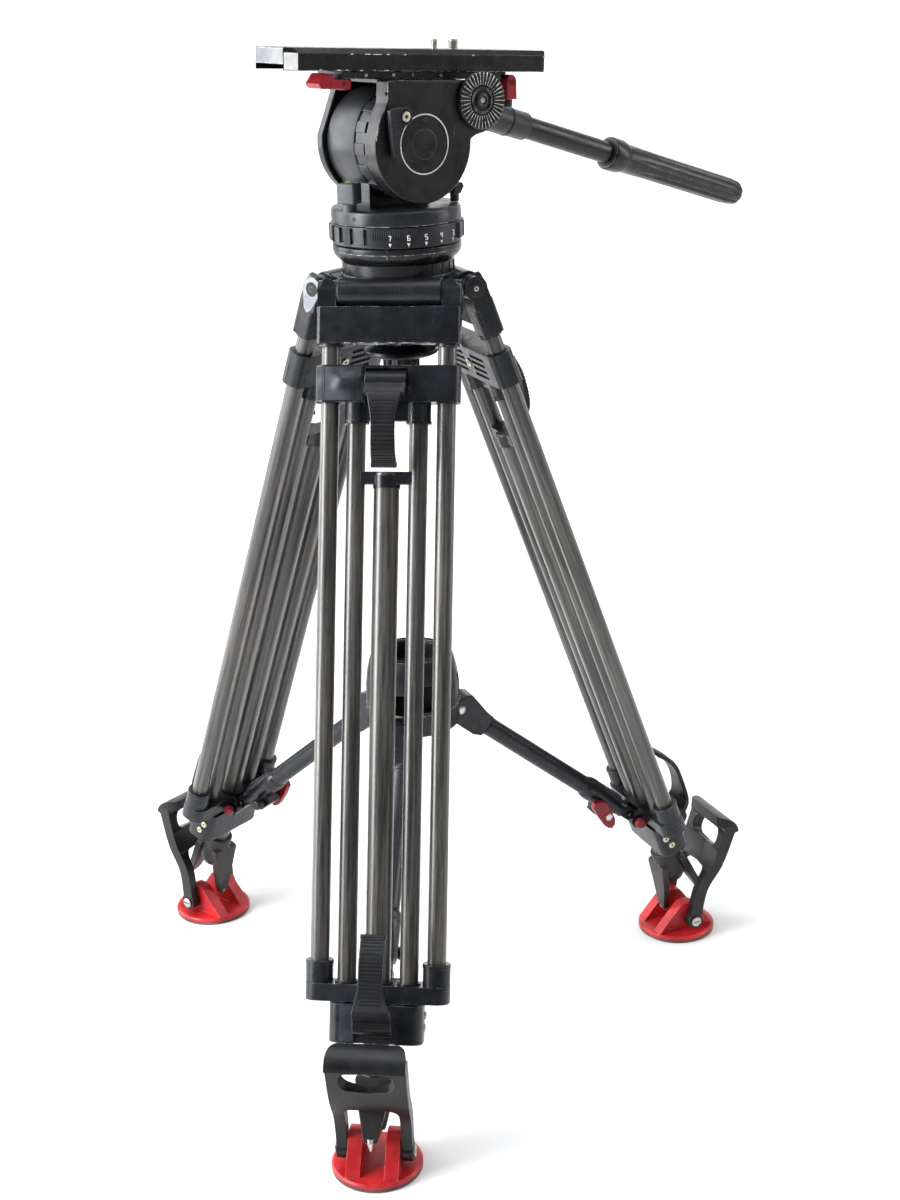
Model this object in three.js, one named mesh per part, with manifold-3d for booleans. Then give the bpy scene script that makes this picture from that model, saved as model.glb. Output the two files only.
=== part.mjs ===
// Video tripod with a fluid head: three twin-tube telescopic legs, a mid-level spreader, and a head
// with a long sliding camera plate and a pan arm. Millimetres, +Z up, the sole of each foot at z = 0.
import * as THREE from "three";
import { mergeVertices } from "three/addons/utils/BufferGeometryUtils.js";
import Module from "manifold-3d";

const wasm = await Module();
wasm.setup();

const GAP = 0.35;
const ROUND = 14;
const SMALL_ROUND = 10;
const DEG = Math.PI / 180;

// ---- driving dimensions ----
const HINGE_RADIUS = 48.3;
const HINGE_HEIGHT = 722.5;
const LEG_ANGLE = 20.1;
const LEG_AZIMUTHS = [-90, 30, 150];
const TUBE_Y = -2;
const OUTER_TUBE = { r: 8.2, x: 51.4, top: -40, bottom: -604 };
const INNER_TUBE = { r: 8.2, x: 27.4, top: -91, bottom: -625 };
const CENTRE_TUBE = { r: 11.25, top: -158, bottom: -672 };
const LEG_HALF_WIDTH = 63;
const SPIKE_DEPTH = 741;
const SPIKE_OFFSET = 22.5;
const YOKE = { top: -601, bottom: -616, socketTop: -582, socketR: 12 };
const YOKE_PIVOT = { y: 19.5, z: -608 };
const UPPER_CLAMP = { top: -65, bottom: -97 };
const LOWER_CLAMP = { top: -617.5, bottom: -651 };
const PAD = { radius: 40.2, centre: 296, pivotR: 301, pivotZ: 20 };
const HANDLE_LEAN = [6, 0, 8];
const PIVOT_PIN = 3.4;
const AXLE_PIN = 4;
const HUB_PIVOT = { r: 46, z: 303 };
const BALL = { r: 50, z: 730, seatR: 51.2 };
const HEAD_AZIMUTH = 43.5;
const TILT_HEIGHT = 847;
const TILT_AT_REST = 3.5;
const PLATE = { front: -126.5, rear: 143.2, half: 31, bottom: 59.5, top: 78 };
const ROSETTE = { x: 58.2, z: 36.2, r: 24.5 };
const PAN_ARM_PIVOT = { x: 64, z: 30 };
const ARM_PLANE = 65;
const ARM_DROP = 14;

// ---- materials ----
const paint = (color, roughness, metalness) =>
  new THREE.MeshStandardMaterial({ color, roughness, metalness });
const CASTING = paint(0x303236, 0.5, 0.4);
const PLASTIC = paint(0x26282b, 0.55, 0);
const CARBON = paint(0x4a4844, 0.4, 0.1);
const ANODISED = paint(0x1b1c1e, 0.4, 0.6);
const RED = paint(0xb02226, 0.45, 0);
const PAD_RED = paint(0xd8232a, 0.5, 0);
const RUBBER = paint(0x1a1b1c, 0.8, 0);
const GREY = paint(0x6a6d72, 0.5, 0.3);
const STEEL = paint(0xb8bab8, 0.3, 0.9);

// ---- solid helpers ----
function solid(geometry) {
  geometry.deleteAttribute("normal");
  geometry.deleteAttribute("uv");
  const merged = mergeVertices(geometry, 1e-4);
  return new wasm.Manifold(
    new wasm.Mesh({
      numProp: 3,
      vertProperties: new Float32Array(merged.attributes.position.array),
      triVerts: new Uint32Array(merged.index.array),
    }),
  );
}

function place(geometry, [x, y, z], [rx, ry, rz] = [0, 0, 0]) {
  const turn = new THREE.Quaternion().setFromEuler(
    new THREE.Euler(rx * DEG, ry * DEG, rz * DEG),
  );
  return geometry.applyMatrix4(
    new THREE.Matrix4().compose(
      new THREE.Vector3(x, y, z),
      turn,
      new THREE.Vector3(1, 1, 1),
    ),
  );
}

const AXIS_TURN = { x: [0, 0, -90], y: [0, 0, 0], z: [90, 0, 0] };

// A round bar along one axis, centred on a point.
function rod(r, length, axis, centre, { r2 = r, segments = ROUND } = {}) {
  return solid(
    place(new THREE.CylinderGeometry(r2, r, length, segments), centre, AXIS_TURN[axis]),
  );
}

// A round bar along one axis between two coordinates of that axis.
function bar(r, from, to, axis, [u, v], options) {
  const mid = (from + to) / 2;
  const centre = { x: [mid, u, v], y: [u, mid, v], z: [u, v, mid] }[axis];
  return rod(r, Math.abs(to - from), axis, centre, options);
}

// A plain box given by its low and high corners.
function block(low, high) {
  const size = high.map((h, i) => h - low[i]);
  const centre = high.map((h, i) => (h + low[i]) / 2);
  return solid(place(new THREE.BoxGeometry(...size), centre));
}

// A block that lies between two distances from the middle plane, on the side given by s.
const sideBlock = (s, from, to, [y0, z0], [y1, z1]) =>
  block([Math.min(s * from, s * to), y0, z0], [Math.max(s * from, s * to), y1, z1]);

function polygon(points) {
  const shape = new THREE.Shape();
  points.forEach(([a, b], i) => (i ? shape.lineTo(a, b) : shape.moveTo(a, b)));
  shape.closePath();
  return shape;
}

const BASES = {
  x: [[0, 1, 0], [0, 0, 1], [1, 0, 0]],
  y: [[1, 0, 0], [0, 0, 1], [0, -1, 0]],
  z: [[1, 0, 0], [0, 1, 0], [0, 0, 1]],
};

// A prism of a 2-D shape along an axis: x takes a (y, z) shape, y an (x, z) one, z an (x, y) one.
function prism(shape, from, to, axis, curveSegments = 4) {
  const geometry = new THREE.ExtrudeGeometry(shape, {
    depth: Math.abs(to - from),
    bevelEnabled: false,
    curveSegments,
  });
  const [a, b, c] = BASES[axis].map((v) => new THREE.Vector3(...v));
  const matrix = new THREE.Matrix4().makeBasis(a, b, c);
  const start = axis === "y" ? Math.max(from, to) : Math.min(from, to);
  const offset = new THREE.Vector3();
  offset[axis] = start;
  return solid(geometry.applyMatrix4(matrix).translate(offset.x, offset.y, offset.z));
}

function roundedRect(x0, y0, x1, y1, r) {
  const shape = new THREE.Shape();
  shape.moveTo(x0 + r, y0);
  shape.lineTo(x1 - r, y0);
  shape.absarc(x1 - r, y0 + r, r, -Math.PI / 2, 0);
  shape.lineTo(x1, y1 - r);
  shape.absarc(x1 - r, y1 - r, r, 0, Math.PI / 2);
  shape.lineTo(x0 + r, y1);
  shape.absarc(x0 + r, y1 - r, r, Math.PI / 2, Math.PI);
  shape.lineTo(x0, y0 + r);
  shape.absarc(x0 + r, y0 + r, r, Math.PI, Math.PI * 1.5);
  return shape;
}

// A block whose vertical edges are rounded.
const pillow = ([x0, y0, z0], [x1, y1, z1], r) =>
  prism(roundedRect(x0, y0, x1, y1, r), z0, z1, "z", 3);

// A turned part about the z axis from (radius, height) points.
function turned(points, segments) {
  return solid(
    place(
      new THREE.LatheGeometry(points.map(([r, z]) => new THREE.Vector2(r, z)), segments),
      [0, 0, 0],
      [90, 0, 0],
    ),
  );
}

// The outline of a strap of one thickness that follows a smooth line through the points.
function strapOutline(points, thickness, steps) {
  const curve = new THREE.SplineCurve(points.map(([a, b]) => new THREE.Vector2(a, b)));
  const left = [];
  const right = [];
  for (let i = 0; i <= steps; i++) {
    const p = curve.getPoint(i / steps);
    const t = curve.getTangent(i / steps);
    left.push([p.x - (t.y * thickness) / 2, p.y + (t.x * thickness) / 2]);
    right.unshift([p.x + (t.y * thickness) / 2, p.y - (t.x * thickness) / 2]);
  }
  return polygon([...left, ...right]);
}

const join = (first, ...rest) => rest.reduce((sum, s) => sum.add(s), first);
const cut = (first, ...rest) => rest.reduce((sum, s) => sum.subtract(s), first);
const mirrored = (make) => [make(1), make(-1)];

function geometryOf(manifold) {
  const m = manifold.getMesh();
  return new THREE.BufferGeometry()
    .setAttribute("position", new THREE.BufferAttribute(m.vertProperties, 3))
    .setIndex(new THREE.BufferAttribute(m.triVerts, 1));
}

const moved = (s, at, turn) => solid(place(geometryOf(s), at, turn));

function named(name, geometry, material) {
  const mesh = new THREE.Mesh(geometry, material);
  mesh.name = name;
  return mesh;
}

// ---- leg, in its own frame: x across, -y outwards, z up the leg from the hinge ----
function shoulderAndTubes() {
  const web = block([-43, -12, -46], [43, -2.5, -16]);
  const sides = mirrored((s) =>
    join(
      sideBlock(s, 41, LEG_HALF_WIDTH, [-12.5, -46], [8, -14]),
      sideBlock(s, 46.3, LEG_HALF_WIDTH, [-11, -15], [9, 0]),
      bar(11, s * 46.3, s * LEG_HALF_WIDTH, "x", [0, 0]),
      bar(AXLE_PIN, s * 39, s * 64.5, "x", [0, 0], { segments: SMALL_ROUND }),
      bar(OUTER_TUBE.r, OUTER_TUBE.bottom, OUTER_TUBE.top, "z", [s * OUTER_TUBE.x, TUBE_Y]),
    ),
  );
  return join(web, ...sides);
}

function yokeSolid() {
  const plate = pillow(
    [-LEG_HALF_WIDTH, -15, YOKE.bottom],
    [LEG_HALF_WIDTH, 12, YOKE.top],
    11,
  );
  const sockets = mirrored((s) =>
    bar(YOKE.socketR, YOKE.bottom, YOKE.socketTop, "z", [s * OUTER_TUBE.x, TUBE_Y]),
  );
  const ears = mirrored((s) =>
    join(
      sideBlock(s, 10, 18, [8, YOKE.bottom], [YOKE_PIVOT.y, YOKE.top]),
      bar(7.5, s * 10, s * 18, "x", [YOKE_PIVOT.y, YOKE_PIVOT.z]),
    ),
  );
  const tubeSeats = mirrored((s) =>
    bar(OUTER_TUBE.r + GAP, OUTER_TUBE.bottom - 1, YOKE.socketTop + 1, "z", [
      s * OUTER_TUBE.x,
      TUBE_Y,
    ]),
  );
  const guides = mirrored((s) =>
    bar(INNER_TUBE.r + GAP, YOKE.bottom - 1, YOKE.top + 1, "z", [s * INNER_TUBE.x, TUBE_Y]),
  );
  return cut(
    join(plate, ...sockets, ...ears),
    ...tubeSeats,
    ...guides,
    bar(CENTRE_TUBE.r + GAP, YOKE.bottom - 1, YOKE.top + 1, "z", [0, TUBE_Y]),
    bar(PIVOT_PIN, -20, 20, "x", [YOKE_PIVOT.y, YOKE_PIVOT.z], { segments: SMALL_ROUND }),
  );
}

const UPPER_CAM = [-15, -79];

function upperClampSolid() {
  const { top, bottom } = UPPER_CLAMP;
  const body = pillow([-63.5, -14, bottom], [63.5, 9.5, top], 9);
  const bosses = mirrored((s) =>
    bar(10.6, -115, bottom + 2, "z", [s * INNER_TUBE.x, TUBE_Y]),
  );
  const slides = mirrored((s) =>
    bar(OUTER_TUBE.r + GAP, bottom - 1, top + 1, "z", [s * OUTER_TUBE.x, TUBE_Y]),
  );
  const seats = mirrored((s) =>
    bar(INNER_TUBE.r + GAP, -116, INNER_TUBE.top + 1, "z", [s * INNER_TUBE.x, TUBE_Y]),
  );
  const web = block([-27, -8, -112], [27, 1.5, bottom + 6]);
  return cut(
    join(body, web, ...bosses),
    ...slides,
    ...seats,
    block([-18.6, -20, bottom - 1], [18.6, -6.4, -68]),
    bar(9.6, -18.6, 18.6, "x", UPPER_CAM),
  );
}

// A bowed clamp lever: a wide cam at the pivot and a narrow strap that ends in a lip.
function leverSolid(cam, points, { camHalf, strapHalf }) {
  const lip = points[points.length - 1];
  const strap = prism(strapOutline(points, 4.2, 8), -strapHalf, strapHalf, "x");
  return join(
    bar(8.8, -camHalf, camHalf, "x", cam),
    prism(strapOutline(points.slice(0, 2), 5, 3), -camHalf, camHalf, "x"),
    strap,
    bar(2.6, -strapHalf - 2, strapHalf + 2, "x", lip, { segments: SMALL_ROUND }),
  );
}

const UPPER_STRAP = [[-19, -80], [-27, -92], [-31, -112], [-28, -138], [-20, -152]];
const upperLever = () => leverSolid(UPPER_CAM, UPPER_STRAP, { camHalf: 18, strapHalf: 10.5 });

const BOOT = [[0, -707], [9, -706], [15, -696], [15.2, -667], [0, -667]];
const LOWER_CAM = [-25, -632];
const LOWER_STRAP = [[-27, -632], [-39, -620], [-43, -598], [-41, -576], [-30, -557]];
const lowerLever = () => leverSolid(LOWER_CAM, LOWER_STRAP, { camHalf: 17, strapHalf: 10.5 });

function innerStage() {
  const { top, bottom } = LOWER_CLAMP;
  const body = pillow([-41, -17, bottom], [41, 14, top], 10);
  const tubes = mirrored((s) =>
    bar(INNER_TUBE.r, INNER_TUBE.bottom, INNER_TUBE.top, "z", [s * INNER_TUBE.x, TUBE_Y]),
  );
  return cut(
    join(body, ...tubes),
    bar(CENTRE_TUBE.r + GAP, bottom - 1, top + 1, "z", [0, TUBE_Y]),
    block([-17.6, -30, bottom - 1], [17.6, -15.6, top + 1]),
    bar(9.4, -17.6, 17.6, "x", LOWER_CAM),
  );
}

function lowerStage() {
  const cap = cut(
    block([-22, -9.5, -168], [22, 5.5, -157]),
    ...mirrored((s) => bar(INNER_TUBE.r + GAP, -169, -156, "z", [s * INNER_TUBE.x, TUBE_Y])),
  );
  const wedge = [[-16, -684], [16, -684], [13, -706], [6, -733], [-6, -733], [-13, -706]];
  const prong = (s) => {
    const slant = [[8, -684], [15, -684], [26, -734], [19, -734], [8, -698]];
    const side = polygon(slant.map(([offset, z]) => [TUBE_Y + s * offset, z]));
    const tip = place(
      new THREE.ConeGeometry(5.2, 12, SMALL_ROUND),
      [0, TUBE_Y + s * SPIKE_OFFSET, -SPIKE_DEPTH + 6],
      [-90, 0, 0],
    );
    return join(
      prism(side, -17, 17, "x").intersect(prism(polygon(wedge), -40, 40, "y")),
      solid(tip),
    );
  };
  return join(
    bar(CENTRE_TUBE.r, CENTRE_TUBE.bottom, CENTRE_TUBE.top, "z", [0, TUBE_Y]),
    cap,
    moved(turned(BOOT, ROUND), [0, TUBE_Y, 0]),
    prong(1),
    prong(-1),
  );
}

const releasePin = () =>
  join(
    bar(PIVOT_PIN - 0.4, -24, 24, "x", [YOKE_PIVOT.y, YOKE_PIVOT.z], { segments: SMALL_ROUND }),
    ...mirrored((s) => bar(5.6, s * 20.5, s * 26, "x", [YOKE_PIVOT.y, YOKE_PIVOT.z])),
  );

// ---- foot parts, upright frame of one leg: x across, -y outwards, z up from the floor ----
function padSolid() {
  const profile = [[0, 0], [39.2, 0], [PAD.radius, 1.5], [PAD.radius, 5], [37, 8], [0, 8]];
  const dish = moved(turned(profile, 24), [0, -PAD.centre, 0]);
  const fin = polygon([
    [-PAD.centre - 31, 7],
    [-PAD.centre + 34, 7],
    [-PAD.centre + 8, 36],
    [-PAD.centre + 2, 38],
    [-PAD.centre - 4, 38],
    [-PAD.centre - 9, 35],
  ]);
  const fins = mirrored((s) => prism(fin, s * 10.5, s * 23, "x"));
  const pivots = mirrored((s) =>
    bar(PIVOT_PIN, s * 20, s * 35.5, "x", [-PAD.pivotR, PAD.pivotZ], { segments: SMALL_ROUND }),
  );
  return join(dish, ...fins, ...pivots);
}

// The handle about its pivot: -y outwards, z up.
const HANDLE_ARM = [[0, 0], [-8, 36], [-26, 64], [-40, 101]];
const HANDLE_TOP = [[-42, 99], [-37, 106], [-27, 108]];

function handleSolid() {
  const arms = mirrored((s) =>
    join(
      prism(strapOutline(HANDLE_ARM, 13, 6), s * 23.6, s * 35, "x"),
      bar(8.6, s * 23.6, s * 35, "x", [0, 0]),
    ),
  );
  const top = prism(strapOutline(HANDLE_TOP, 11, 3), -35, 35, "x");
  const web = prism(strapOutline([[-24, 56], [-31, 75]], 7, 1), -25, 25, "x");
  return cut(
    join(top, web, ...arms),
    bar(PIVOT_PIN + GAP, -36, 36, "x", [0, 0], { segments: SMALL_ROUND }),
  );
}

// ---- spreader arm, in its own frame: pivot at the origin, y towards the hub, x across ----
const ARM_PIVOT = legPoint(YOKE_PIVOT.y, YOKE_PIVOT.z);
const ARM_RUN = ARM_PIVOT.r - HUB_PIVOT.r;
const ARM_RISE = HUB_PIVOT.z - ARM_PIVOT.z;
const ARM_LENGTH = Math.hypot(ARM_RUN, ARM_RISE);
const ARM_SLOPE = Math.atan2(ARM_RISE, ARM_RUN) / DEG;
const CLAMP_SCREW = { y: 35.5, z: -12.5 };
const ARM_ROD = { r: 6.6, from: 20, to: 150 };
const ARM_COLLAR = { from: 24, to: 70 };

// Distance from the axis and height of a point of the leg's own frame at rest.
function legPoint(y, z) {
  const a = LEG_ANGLE * DEG;
  return {
    r: HINGE_RADIUS - z * Math.sin(a) - y * Math.cos(a),
    z: HINGE_HEIGHT + z * Math.cos(a) - y * Math.sin(a),
  };
}

const spreadFork = () =>
  cut(
    join(
      bar(6.4, -9.5, 9.5, "x", [0, 0]),
      block([-9.5, 0, -6.4], [9.5, 14, 6.4]),
      bar(8.6, 12, ARM_COLLAR.from - 0.5, "y", [0, 0]),
      bar(ARM_ROD.r, ARM_ROD.from, ARM_ROD.to, "y", [0, 0]),
    ),
    bar(PIVOT_PIN, -12, 12, "x", [0, 0], { segments: SMALL_ROUND }),
  );

function spreadTube() {
  const knuckle = polygon([
    [214, -11],
    [214, 10.5],
    [224, 12],
    [ARM_LENGTH - 2, 18],
    [ARM_LENGTH + 6, 10],
    [ARM_LENGTH + 8, 0],
    [ARM_LENGTH + 4, -10],
    [ARM_LENGTH - 3, -14],
    [222, -14.5],
  ]);
  return cut(
    join(
      bar(11.6, ARM_COLLAR.from, ARM_COLLAR.to, "y", [0, 0]),
      block([-8, 27, -19], [8, 46, -7.2]),
      bar(9.4, 60, 218, "y", [0, 0]),
      prism(knuckle, -10.5, 10.5, "x"),
    ),
    bar(ARM_ROD.r + GAP, ARM_COLLAR.from - 1, ARM_ROD.to + 2, "y", [0, 0]),
    bar(PIVOT_PIN, -14, 14, "x", [CLAMP_SCREW.y, CLAMP_SCREW.z], { segments: SMALL_ROUND }),
  );
}

// The clamp screw with its red wing on one end and the black stop knob on the other.
function wingSolid() {
  const { y, z } = CLAMP_SCREW;
  const outline = [[24, 4], [12, 11], [-8, 2], [-12, -8], [-3, -10], [10, -6]];
  const blade = polygon(outline.map(([along, up]) => [y + along, z + up]));
  return join(
    bar(PIVOT_PIN - GAP, -16, 13, "x", [y, z], { segments: SMALL_ROUND }),
    prism(blade, -20, -13.2, "x"),
    bar(4.8, -14, -9.2, "x", [y, z], { segments: SMALL_ROUND }),
    bar(5.4, 9.6, 19, "x", [y, z], { segments: SMALL_ROUND }),
  );
}

const LEG_SHAPES = {
  outer_stage: [geometryOf(shoulderAndTubes()), CARBON],
  yoke: [geometryOf(yokeSolid()), CASTING],
  upper_clamp: [geometryOf(upperClampSolid()), CASTING],
  upper_lever: [geometryOf(upperLever()), PLASTIC],
  inner_stage: [geometryOf(innerStage()), CARBON],
  lower_lever: [geometryOf(lowerLever()), PLASTIC],
  lower_stage: [geometryOf(lowerStage()), CARBON],
  release_pin: [geometryOf(releasePin()), RED],
};
const PAD_SHAPES = { pad: [geometryOf(padSolid()), PAD_RED] };
const HANDLE_SHAPES = { handle: [geometryOf(handleSolid()), RUBBER] };
const SPREAD_SHAPES = {
  spread_fork: [geometryOf(spreadFork()), CASTING],
  spread_tube: [geometryOf(spreadTube()), CARBON],
  spread_wing: [geometryOf(wingSolid()), RED],
};

function addShapes(group, prefix, shapes) {
  for (const [part, [geometry, material]] of Object.entries(shapes))
    group.add(named(prefix + part, geometry, material));
  return group;
}

function makeLeg(number, azimuth, handleLean) {
  const upright = new THREE.Group();
  upright.rotation.z = (azimuth + 90) * DEG;
  const prefix = "leg" + number + "_";
  const slanted = addShapes(new THREE.Group(), prefix, LEG_SHAPES);
  slanted.position.set(0, -HINGE_RADIUS, HINGE_HEIGHT);
  slanted.rotation.x = -LEG_ANGLE * DEG;
  const arm = addShapes(new THREE.Group(), prefix, SPREAD_SHAPES);
  arm.position.set(0, -ARM_PIVOT.r, ARM_PIVOT.z);
  arm.rotation.x = ARM_SLOPE * DEG;
  const handle = addShapes(new THREE.Group(), prefix, HANDLE_SHAPES);
  handle.position.set(0, -PAD.pivotR, PAD.pivotZ);
  handle.rotation.x = -handleLean * DEG;
  addShapes(upright, prefix, PAD_SHAPES).add(slanted, arm, handle);
  return upright;
}

// ---- crown, spreader hub and bowl, on the tripod's axis ----
function aroundLegs(make) {
  return LEG_AZIMUTHS.map((azimuth) => moved(make(), [0, 0, 0], [0, 0, azimuth + 90]));
}

function crownSolid() {
  const profile = [[0, 674], [33, 674], [44, 690], [49.5, 706], [57, 712], [57, 731], [0, 731]];
  const cup = turned(profile, 24);
  const barrels = aroundLegs(() =>
    cut(
      bar(13.2, -45.8, 45.8, "x", [-HINGE_RADIUS, HINGE_HEIGHT]),
      ...mirrored((s) =>
        bar(AXLE_PIN + GAP, s * 38.5, s * 47, "x", [-HINGE_RADIUS, HINGE_HEIGHT], {
          segments: SMALL_ROUND,
        }),
      ),
    ),
  );
  const seat = solid(place(new THREE.SphereGeometry(BALL.seatR, 24, 12), [0, 0, BALL.z], [90, 0, 0]));
  return cut(
    join(cup, ...barrels),
    seat,
    turned([[0, 726], [51, 726], [52.8, 731], [52.8, 745], [0, 745]], 24),
    turned([[0, 660], [24, 660], [24, 700], [0, 700]], 16),
  );
}

function hubSolid() {
  const profile = [[0, 296], [42, 296], [45, 300], [45, 345], [38, 370], [29, 370], [28, 352], [0, 352]];
  const body = turned(profile, 24);
  const slots = aroundLegs(() => block([-11.3, -60, 280], [11.3, -20, 340]));
  return cut(body, ...slots);
}

function headBase() {
  const ball = solid(place(new THREE.SphereGeometry(BALL.r, 24, 12), [0, 0, BALL.z], [90, 0, 0]));
  const lower = ball.intersect(turned([[0, 690], [60, 690], [60, BALL.z], [0, BALL.z]], 8));
  return join(
    lower,
    turned(
      [
        [0, 729],
        [49.8, 729],
        [50.3, 733],
        [50.3, 746],
        [54.5, 749],
        [57.5, 754],
        [57.5, 760.6],
        [50.4, 760.6],
        [50.4, 779.2],
        [0, 779.2],
      ],
      24,
    ),
    bar(6, 648, 695, "z", [0, 0], { segments: SMALL_ROUND }),
  );
}

const bowlKnob = () =>
  cut(
    join(
      turned([[0, 659], [32, 659], [34, 661], [34, 664], [20, 669], [0, 669]], 18),
      turned([[0, 622], [14, 622], [17, 626], [17, 650], [12, 662], [0, 662]], 12),
    ),
    bar(6 + GAP, 646, 680, "z", [0, 0], { segments: SMALL_ROUND }),
  );

// A ring with grip blocks around it, along z.
function blockedRing(inner, low, high, bottom, top, blocks) {
  const step = (2 * Math.PI) / blocks;
  const points = [];
  for (let i = 0; i < blocks; i++)
    for (const [share, r] of [[0, low], [0.2, high], [0.6, high], [0.8, low]])
      points.push([r * Math.cos((i + share) * step), r * Math.sin((i + share) * step)]);
  const shape = polygon(points);
  shape.holes.push(new THREE.Path().absarc(0, 0, inner, 0, 2 * Math.PI, true));
  return prism(shape, bottom, top, "z", 10);
}

// ---- head, turned to its azimuth: x to the rear, y to the pan arm's side ----
function panBody() {
  return join(
    turned([[0, 779.7], [57, 779.7], [57.6, 781], [57.6, 790], [55, 793], [0, 793]], 28),
    bar(6, 790, 798, "z", [-51.6, -4.2], { segments: SMALL_ROUND }),
    block([-32, -7, 790], [32, 36.5, 830]),
    bar(46.5, -7, 36.5, "y", [0, TILT_HEIGHT], { segments: 28 }),
    bar(26, -27.8, -6, "y", [0, TILT_HEIGHT]),
    bar(13, -40, 43, "y", [0, TILT_HEIGHT]),
  );
}

const bubbleHousing = () =>
  place(
    new THREE.ExtrudeGeometry(roundedRect(-9, -7, 9, 7, 2), {
      depth: 17.5,
      bevelEnabled: false,
      curveSegments: 2,
    }),
    [-51.6, -4.2, 798.3],
    [0, 0, -66],
  );

const panBrake = () =>
  join(
    bar(4, 793.4, 801, "z", [44, -28], { segments: SMALL_ROUND }),
    prism(polygon([[40, 800], [48, 800], [52, 806], [50, 809.5], [42, 806]]), -32, -24, "y"),
  );

// ---- tilting parts, about the tilt axis: x to the rear, z up ----
const CHEEK = [
  [52, 52.5],
  [73, 50],
  [86, 34],
  [80, 17],
  [64, 9],
  [50.2, 3],
];

function tiltBody() {
  const cheek = (from, to, front) =>
    join(
      bar(50.5, from, to, "y", [0, 0], { segments: 28 }),
      prism(polygon([...front, ...CHEEK]), from, to, "y"),
    );
  return cut(
    join(
      cheek(-46, -28.2, [[-50.2, 3], [-44.5, 24], [-39, 36], [-39, 52.5]]),
      cheek(36.9, 46, [[-50.2, 3], [-33, 52.5]]),
      block([-33, -46, 49.9], [52, 46, 52.9]),
      bar(11, -36, 40, "y", [PAN_ARM_PIVOT.x + 3, PAN_ARM_PIVOT.z + 3]),
    ),
    bar(13 + GAP, -41, 43.6, "y", [0, 0]),
  );
}

function tiltDragRing() {
  return geometryOf(
    blockedRing(26.8, 45.6, 48.6, -9.5, 9.5, 14),
  );
}

// A disc whose face carries radial serrations.
function serratedDisc(r, inner, depth, teeth) {
  const position = [];
  const index = [];
  const count = teeth * 2;
  const ring = (radius, height) => {
    const first = position.length / 3;
    for (let i = 0; i < count; i++) {
      const a = (i / count) * 2 * Math.PI;
      const z = typeof height === "function" ? height(i) : height;
      position.push(radius * Math.cos(a), radius * Math.sin(a), z);
    }
    return first;
  };
  const band = (a, b) => {
    for (let i = 0; i < count; i++) {
      const j = (i + 1) % count;
      index.push(a + i, a + j, b + j, a + i, b + j, b + i);
    }
  };
  const back = ring(r, 0);
  const rim = ring(r, depth - 1);
  const crest = ring(r - 0.8, (i) => depth - (i % 2 ? 0.9 : 0));
  const root = ring(inner, (i) => depth - (i % 2 ? 0.6 : 0.2));
  const hub = ring(inner - 1, depth - 1.2);
  position.push(0, 0, 0, 0, 0, depth - 1.2);
  const centreBack = position.length / 3 - 2;
  band(back, rim);
  band(rim, crest);
  band(crest, root);
  band(root, hub);
  for (let i = 0; i < count; i++) {
    const j = (i + 1) % count;
    index.push(centreBack, back + j, back + i, centreBack + 1, hub + i, hub + j);
  }
  return new THREE.BufferGeometry()
    .setAttribute("position", new THREE.Float32BufferAttribute(position, 3))
    .setIndex(index);
}

const TILT_BRAKE_BLADE = [
  [-41.5, 28.5],
  [-33, 31],
  [-22, 31],
  [-25, 15],
  [-31, 12],
  [-30, -4],
  [-28.5, -9.5],
  [-36, -10.5],
  [-39, 6],
];
const tiltBrake = () =>
  join(
    bar(7.5, -54, -46.4, "y", [-25.2, 23.5]),
    prism(polygon(TILT_BRAKE_BLADE), -54, -48.5, "y"),
  );

function plateBed() {
  return join(
    block([-62, -27, 53.2], [96, 27, 59.2]),
    prism(polygon([[-19.5, 58], [19.5, 58], [22.6, 63.8], [-22.6, 63.8]]), -62, 96, "x"),
    block([-75, -30, 53.2], [-60, -8, 59.2]),
    block([90, -13.4, 46], [112, -10, 59.2]),
  );
}

function cameraPlate() {
  const { front, rear, half, bottom, top } = PLATE;
  const corner = 9.3;
  const outline = polygon([
    [front, -half + corner],
    [front + corner, -half],
    [rear - 2, -half],
    [rear, -half + 2],
    [rear, half - 2],
    [rear - 2, half],
    [front + corner, half],
    [front, half - corner],
  ]);
  return cut(
    prism(outline, bottom, top, "z"),
    prism(polygon([[-20, 58], [20, 58], [23.1, 64.3], [-23.1, 64.3]]), front - 1, rear + 1, "x"),
    block([10, -8.8, 60], [112, 8.8, 69.2]),
    block([14, -5.2, 60], [108, 5.2, 80]),
  );
}

const cameraScrew = (x, thread) =>
  join(
    bar(8, 64.8, 68.6, "z", [x, 0]),
    bar(thread * 0.7, 68, 80, "z", [x, 0], { segments: SMALL_ROUND }),
    bar(thread, 79, 86.5, "z", [x, 0], { segments: SMALL_ROUND }),
  );

const CLAMP_LEVER_BLADE = [
  [-66, 52.9],
  [-66, 46],
  [-80, 45],
  [-94, 45],
  [-97, 48.5],
  [-91, 57.5],
  [-82, 57.5],
  [-81.5, 52.9],
];
const clampLever = () =>
  join(
    bar(7.6, 44, 52.9, "z", [-66.5, -19]),
    prism(polygon(CLAMP_LEVER_BLADE), -30, -8, "y"),
  );

const releaseLever = () =>
  join(
    bar(4.8, -30, -13.8, "y", [106, 52.4], { segments: SMALL_ROUND }),
    prism(polygon([[101, 54], [111.5, 54], [112.6, 36], [101, 36]]), -30, -13.8, "y"),
    bar(5.6, 29, 37, "z", [106.5, -22], { segments: 8 }),
  );

// ---- pan arm, in its own frame: x along the arm, y away from the head ----
const ARM_TUBE = 10.8;

const armClamp = () =>
  join(
    bar(21.5, 47.2, 56, "y", [0, 0]),
    block([-13, 52, -10], [24, ARM_PLANE, 22]),
    bar(14, 0, 136, "x", [ARM_PLANE, 9]),
  ).subtract(bar(ARM_TUBE + GAP, 18, 137, "x", [ARM_PLANE, 9]));

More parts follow.
